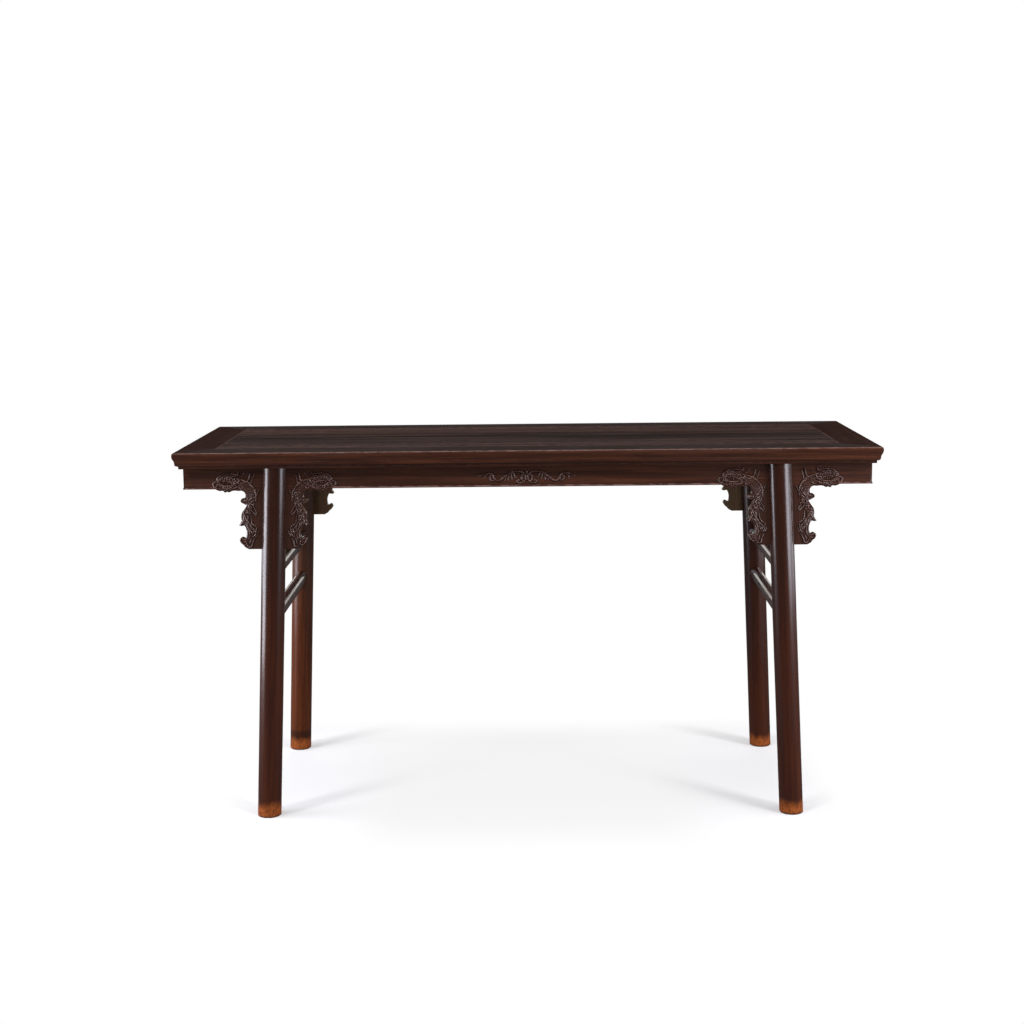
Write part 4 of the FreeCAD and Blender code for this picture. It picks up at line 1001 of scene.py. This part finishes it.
class ALTAR_OT_aprons(bpy.types.Operator):
    """Builds the beaded aprons, the long ones with the carved heads and the scroll"""
    bl_idname = "altar.aprons"
    bl_label = "Aprons"
    # The bead along each apron's lower edge: its height, and how far it stands out, in millimetres.
    bead, proud = 4.2, 1.5

    def execute(self, context):
        s, t = sizes(), tones()
        # The same carved and brushed hardwood as the spandrels, with its figure along the board and less wax.
        material = wood("waxed_hardwood_carved_apron", t.heart, t.streak, t.glow, vector="grain",
                        gloss=(0.4, 0.55), wax=0.5, film=0.2, shine=0.15, figure=0.7, raw=t.raw)
        carved = self.carved_face()
        narrower = 1 - s.board_thickness / (s.table_length / 2 - s.apron_setback)
        for side, y in (("front", 1), ("rear", -1)):
            piece = carved_board(f"apron_carved_{side}", carved, 1, y, back_scale=narrower)
            settle(piece, material, "apron", f"apron_{side}")
        # Planed hardwood at the ends, with hardly any wax left: nearly matt.
        turned = wood("waxed_hardwood_end_apron", t.heart, t.streak, t.glow, turn=ACROSS, gloss=(0.45, 0.6),
                      wax=0.12, shine=0.15)
        bead, joint = self.bead * MM, 0.05 * MM
        face, low = s.table_length / 2 - s.apron_setback, s.underside - s.apron_height
        arcs = [(self.proud * MM * sin(a), low + bead / 2 * (1 - cos(a))) for a in np.linspace(0.15, pi, 9)]
        profile = [(-s.board_thickness, low), (0, low), *arcs, (0, s.underside),
                   (-s.board_thickness, s.underside)]
        # The bead is painted lighter, as wear and painted highlight, its upper crease darker, as wax and
        # painted shade.
        wear_and_painted_light = [0, 0] + [0.2, 0.5, 0.7, 0.8, 0.8, 0.7, 0.4, 0, -0.5] + [0, 0]
        # Each point ends at the long apron's middle plane, where the two meet in a mitre.
        ends = [s.leg_y + s.splay_front / s.underside * (s.underside - z) + s.board_thickness / 2
                + min(across, 0) - joint for across, z in profile]
        for side, sign in (("left", -1), ("right", 1)):
            section = [(sign * (face + across), z) for across, z in profile]
            piece = swept(f"apron_end_{side}", section, ends, "y", wear_and_painted_light)
            settle(piece, turned, "apron", f"apron_{side}")
        return {"FINISHED"}

    def carved_face(self):
        """The long apron's outline and carving, in millimetres across it and down it."""
        s = sizes()
        step, bead = s.carving_grid / MM, self.bead
        height, half = s.apron_height / MM, (s.table_length / 2 - s.apron_setback) / MM
        clear = HEAD_REACH + 3
        hidden = s.leg_radius / MM - LEG_LAP
        start = leg_line(height)
        # Where the carved heads and the scroll are, the points stand close; along the plain runs they don't.
        sparse, top_sparse = 6.0, 20.0
        dense = [(start - clear, start + clear), (-start - clear, -start + clear),
                 (-SCROLL_REACH, SCROLL_REACH)]
        x = np.arange(-half, half, sparse)
        x = x[[not any(low < v < high for low, high in dense) for v in x]]
        close = [np.arange(low, high, step) for low, high in dense]
        x = np.unique(np.concatenate([x, [-half, half], *close]))
        x = x[np.concatenate([[True], np.diff(x) > 0.3 * step])]
        top = np.arange(half - top_sparse, -half + top_sparse / 2, -top_sparse)
        ring = np.vstack([np.column_stack([x, np.full(len(x), height)]), [[half, 0.0]],
                          np.column_stack([top, np.zeros(len(top))]), [[-half, 0.0]]])
        # Rows of points that follow the bead's round along the plain runs.
        rows = height - bead * np.array([1.4, 1.03, 0.99, 0.86, 0.7, 0.5, 0.3, 0.1])
        plain = x[[not any(low - 1 < v < high + 1 for low, high in dense) for v in x]][1:-1]
        inner = [np.column_stack([plain, np.full(len(plain), row)]) for row in rows]
        for low, high in dense:
            lattice = grid((low + 0.5, 1.5), (high - 0.5, height - 0.5 * step), step)
            if low != -SCROLL_REACH:
                middle = np.sign(low + high) * leg_line(lattice[:, 1])
                lattice = lattice[np.abs(lattice[:, 0] - middle) > hidden]
            inner.append(lattice)

        def out(points):
            return np.abs(np.abs(points[:, 0]) - leg_line(points[:, 1]))

        # The bead runs from one carved head to the next and fades out under each.
        fade = 8
        full = HEAD_REACH - fade

        def carving(points):
            reach = out(points)
            heads = dragon(np.column_stack([reach, points[:, 1]])) * (reach < clear)
            round_edge = np.sqrt(np.clip(1 - ((points[:, 1] - height + bead / 2) / (bead / 2)) ** 2, 0, 1))
            line = self.proud * round_edge * np.clip((reach - full + fade) / fade, 0, 1)
            return np.maximum(np.maximum(heads, line), scroll(points))

        edge = ring[(ring[:, 1] > height - 0.1) & (out(ring) > full + 3)]
        sheet, *rest, relief = carve(ring, np.vstack(inner), carving, edge)
        # Along the plain runs the bead's upper round is painted fully light: a painted highlight.
        crest = (sheet[:, 1] > height - bead) & (sheet[:, 1] < height - 0.4 * bead) & (out(sheet) > full)
        return (sheet, *rest, np.where(crest, 1.0, relief))


class ALTAR_OT_stage(bpy.types.Operator):
    """Builds the floor, the lamps, the backdrop's light and the camera"""
    bl_idname = "altar.stage"
    bl_label = "Stage"

    def execute(self, context):
        scene = context.scene
        reach = 30.0
        mesh = bpy.data.meshes.new("floor")
        mesh.from_pydata([(-reach, -reach, 0), (reach, -reach, 0), (reach, reach, 0), (-reach, reach, 0)], [],
                         [(0, 1, 2, 3)])
        mesh.materials.append(self.paper())
        floor = bpy.data.objects.new("floor", mesh)
        scene.collection.objects.link(floor)
        self.backdrop(scene)
        for name, middle, turn, width, height, level, tint in SOFTBOXES:
            lamp = bpy.data.lights.new(name, "AREA")
            lamp.shape, lamp.size, lamp.size_y = "RECTANGLE", width, height
            lamp.energy = level * pi * lamp.size * lamp.size_y
            lamp.color = linear(tint)
            box = bpy.data.objects.new(name, lamp)
            box.visible_camera = False
            box.location = middle
            box.rotation_euler = (pi / 2, 0, radians(turn))
            scene.collection.objects.link(box)
        for name, level, width, tilt, turn, glossy in FAR_LAMPS:
            lamp = bpy.data.lights.new(name, "SUN")
            lamp.energy, lamp.angle = level * pi, radians(width)
            high = bpy.data.objects.new(name, lamp)
            high.rotation_euler = (radians(tilt), 0, radians(turn))
            high.visible_glossy = glossy
            scene.collection.objects.link(high)
        # The camera's place, lens and turns are those of the photograph.
        data = bpy.data.cameras.new("camera")
        data.sensor_width, data.lens = 36.0, 56.70
        camera = bpy.data.objects.new("camera", data)
        yaw, pitch, roll = 0.0133, 0.1612, 0.0109
        camera.matrix_world = (Matrix.Translation((0.01322, -3.7061, 1.2452)) @ Matrix.Rotation(yaw, 4, "Z")
                               @ Matrix.Rotation(pi / 2 - pitch, 4, "X") @ Matrix.Rotation(-roll, 4, "Z"))
        scene.collection.objects.link(camera)
        scene.camera = camera
        scene.view_settings.view_transform = "Standard"
        return {"FINISHED"}

    def paper(self):
        """Seamless white paper: matt, seen from the camera as a white glow with a painted shadow under the
        table.
        """
        material = bpy.data.materials.new("white_paper_floor")
        material.use_nodes = True
        tree = material.node_tree
        tree.nodes.clear()
        place = add(tree, "ShaderNodeTexCoord").outputs["Object"]
        x, y, _ = add(tree, "ShaderNodeSeparateXYZ", (place,)).outputs
        off_x, off_y = (add(tree, "ShaderNodeMath", (axis,), operation="ABSOLUTE") for axis in (x, y))
        # Beyond the table the paper fades into the white surround. Under its middle the paper's glow is raised
        # as painted light over the table's shadow, so that only the feet's shadows stay.
        past_x = add(tree, "ShaderNodeMapRange", (off_x, 0.6, 0.72), **SMOOTH)
        past_y = add(tree, "ShaderNodeMapRange", (off_y, 0.28, 0.5), **SMOOTH)
        away = add(tree, "ShaderNodeMath", (past_x, past_y), operation="MAXIMUM")
        through = add(tree, "ShaderNodeMapRange", (off_x, 0.25, 0.5, 0.9, 0.3), **SMOOTH)
        lift = add(tree, "ShaderNodeMapRange", (away, 0.0, 1.0, through, 1.0))
        # Under the table the glow is 0.91 of white: a painted shadow.
        level = add(tree, "ShaderNodeMapRange", (away, 0.0, 1.0, 0.91, 1.0))
        plain, pale = (add(tree, "ShaderNodeBsdfDiffuse", {"Color": (*linear(code), 1)})
                       for code in ("#4b4b4b", "#e7e7e7"))
        white = add(tree, "ShaderNodeEmission", {"Color": (*linear("#ffffff"), 1), "Strength": level})
        lifted = add(tree, "ShaderNodeMixShader", (lift, pale, white))
        seen = add(tree, "ShaderNodeLightPath").outputs["Is Camera Ray"]
        both = add(tree, "ShaderNodeMixShader", (seen, plain, lifted))
        add(tree, "ShaderNodeOutputMaterial", {"Surface": both})
        return material

    def backdrop(self, scene):
        """A white surround for what the camera sees, and a dim, plain level of light from it."""
        scene.world = bpy.data.worlds.new("white_surround")
        scene.world.use_nodes = True
        tree = scene.world.node_tree
        tree.nodes.clear()
        seen = add(tree, "ShaderNodeLightPath").outputs["Is Camera Ray"]
        plain, white = (add(tree, "ShaderNodeBackground", {"Color": (*linear("#ffffff"), 1),
                                                           "Strength": level}) for level in (0.02, 1.0))
        both = add(tree, "ShaderNodeMixShader", (seen, plain, white))
        add(tree, "ShaderNodeOutputWorld", {"Surface": both})


STEPS = ("frame", "panel", "braces", "legs", "stretchers", "spandrels", "aprons", "stage")


class ALTAR_PT_panel(bpy.types.Panel):
    """Lists the table's sizes, colours and building steps"""
    bl_idname = "ALTAR_PT_panel"
    bl_label = "Altar table"
    bl_space_type = "VIEW_3D"
    bl_region_type = "UI"
    bl_category = "Altar table"

    def draw(self, context):
        for group in (context.scene.altar_table_sizes, context.scene.altar_table_colours):
            column = self.layout.column(align=True)
            for name in group.__annotations__:
                column.prop(group, name)
        for step in STEPS:
            self.layout.operator("altar." + step)


CLASSES = (AltarTableSizes, AltarTableColours, ALTAR_OT_frame, ALTAR_OT_panel, ALTAR_OT_braces, ALTAR_OT_legs,
           ALTAR_OT_stretchers, ALTAR_OT_spandrels, ALTAR_OT_aprons, ALTAR_OT_stage, ALTAR_PT_panel)


def register():
    for item in CLASSES:
        bpy.utils.register_class(item)
    bpy.types.Scene.altar_table_sizes = bpy.props.PointerProperty(type=AltarTableSizes)
    bpy.types.Scene.altar_table_colours = bpy.props.PointerProperty(type=AltarTableColours)


def unregister():
    del bpy.types.Scene.altar_table_colours
    del bpy.types.Scene.altar_table_sizes
    for item in reversed(CLASSES):
        bpy.utils.unregister_class(item)


def main():
    register()
    for step in STEPS:
        if getattr(bpy.ops.altar, step)() != {"FINISHED"}:
            raise RuntimeError(f"the step {step} didn't finish")


if __name__ == "__main__":
    main()
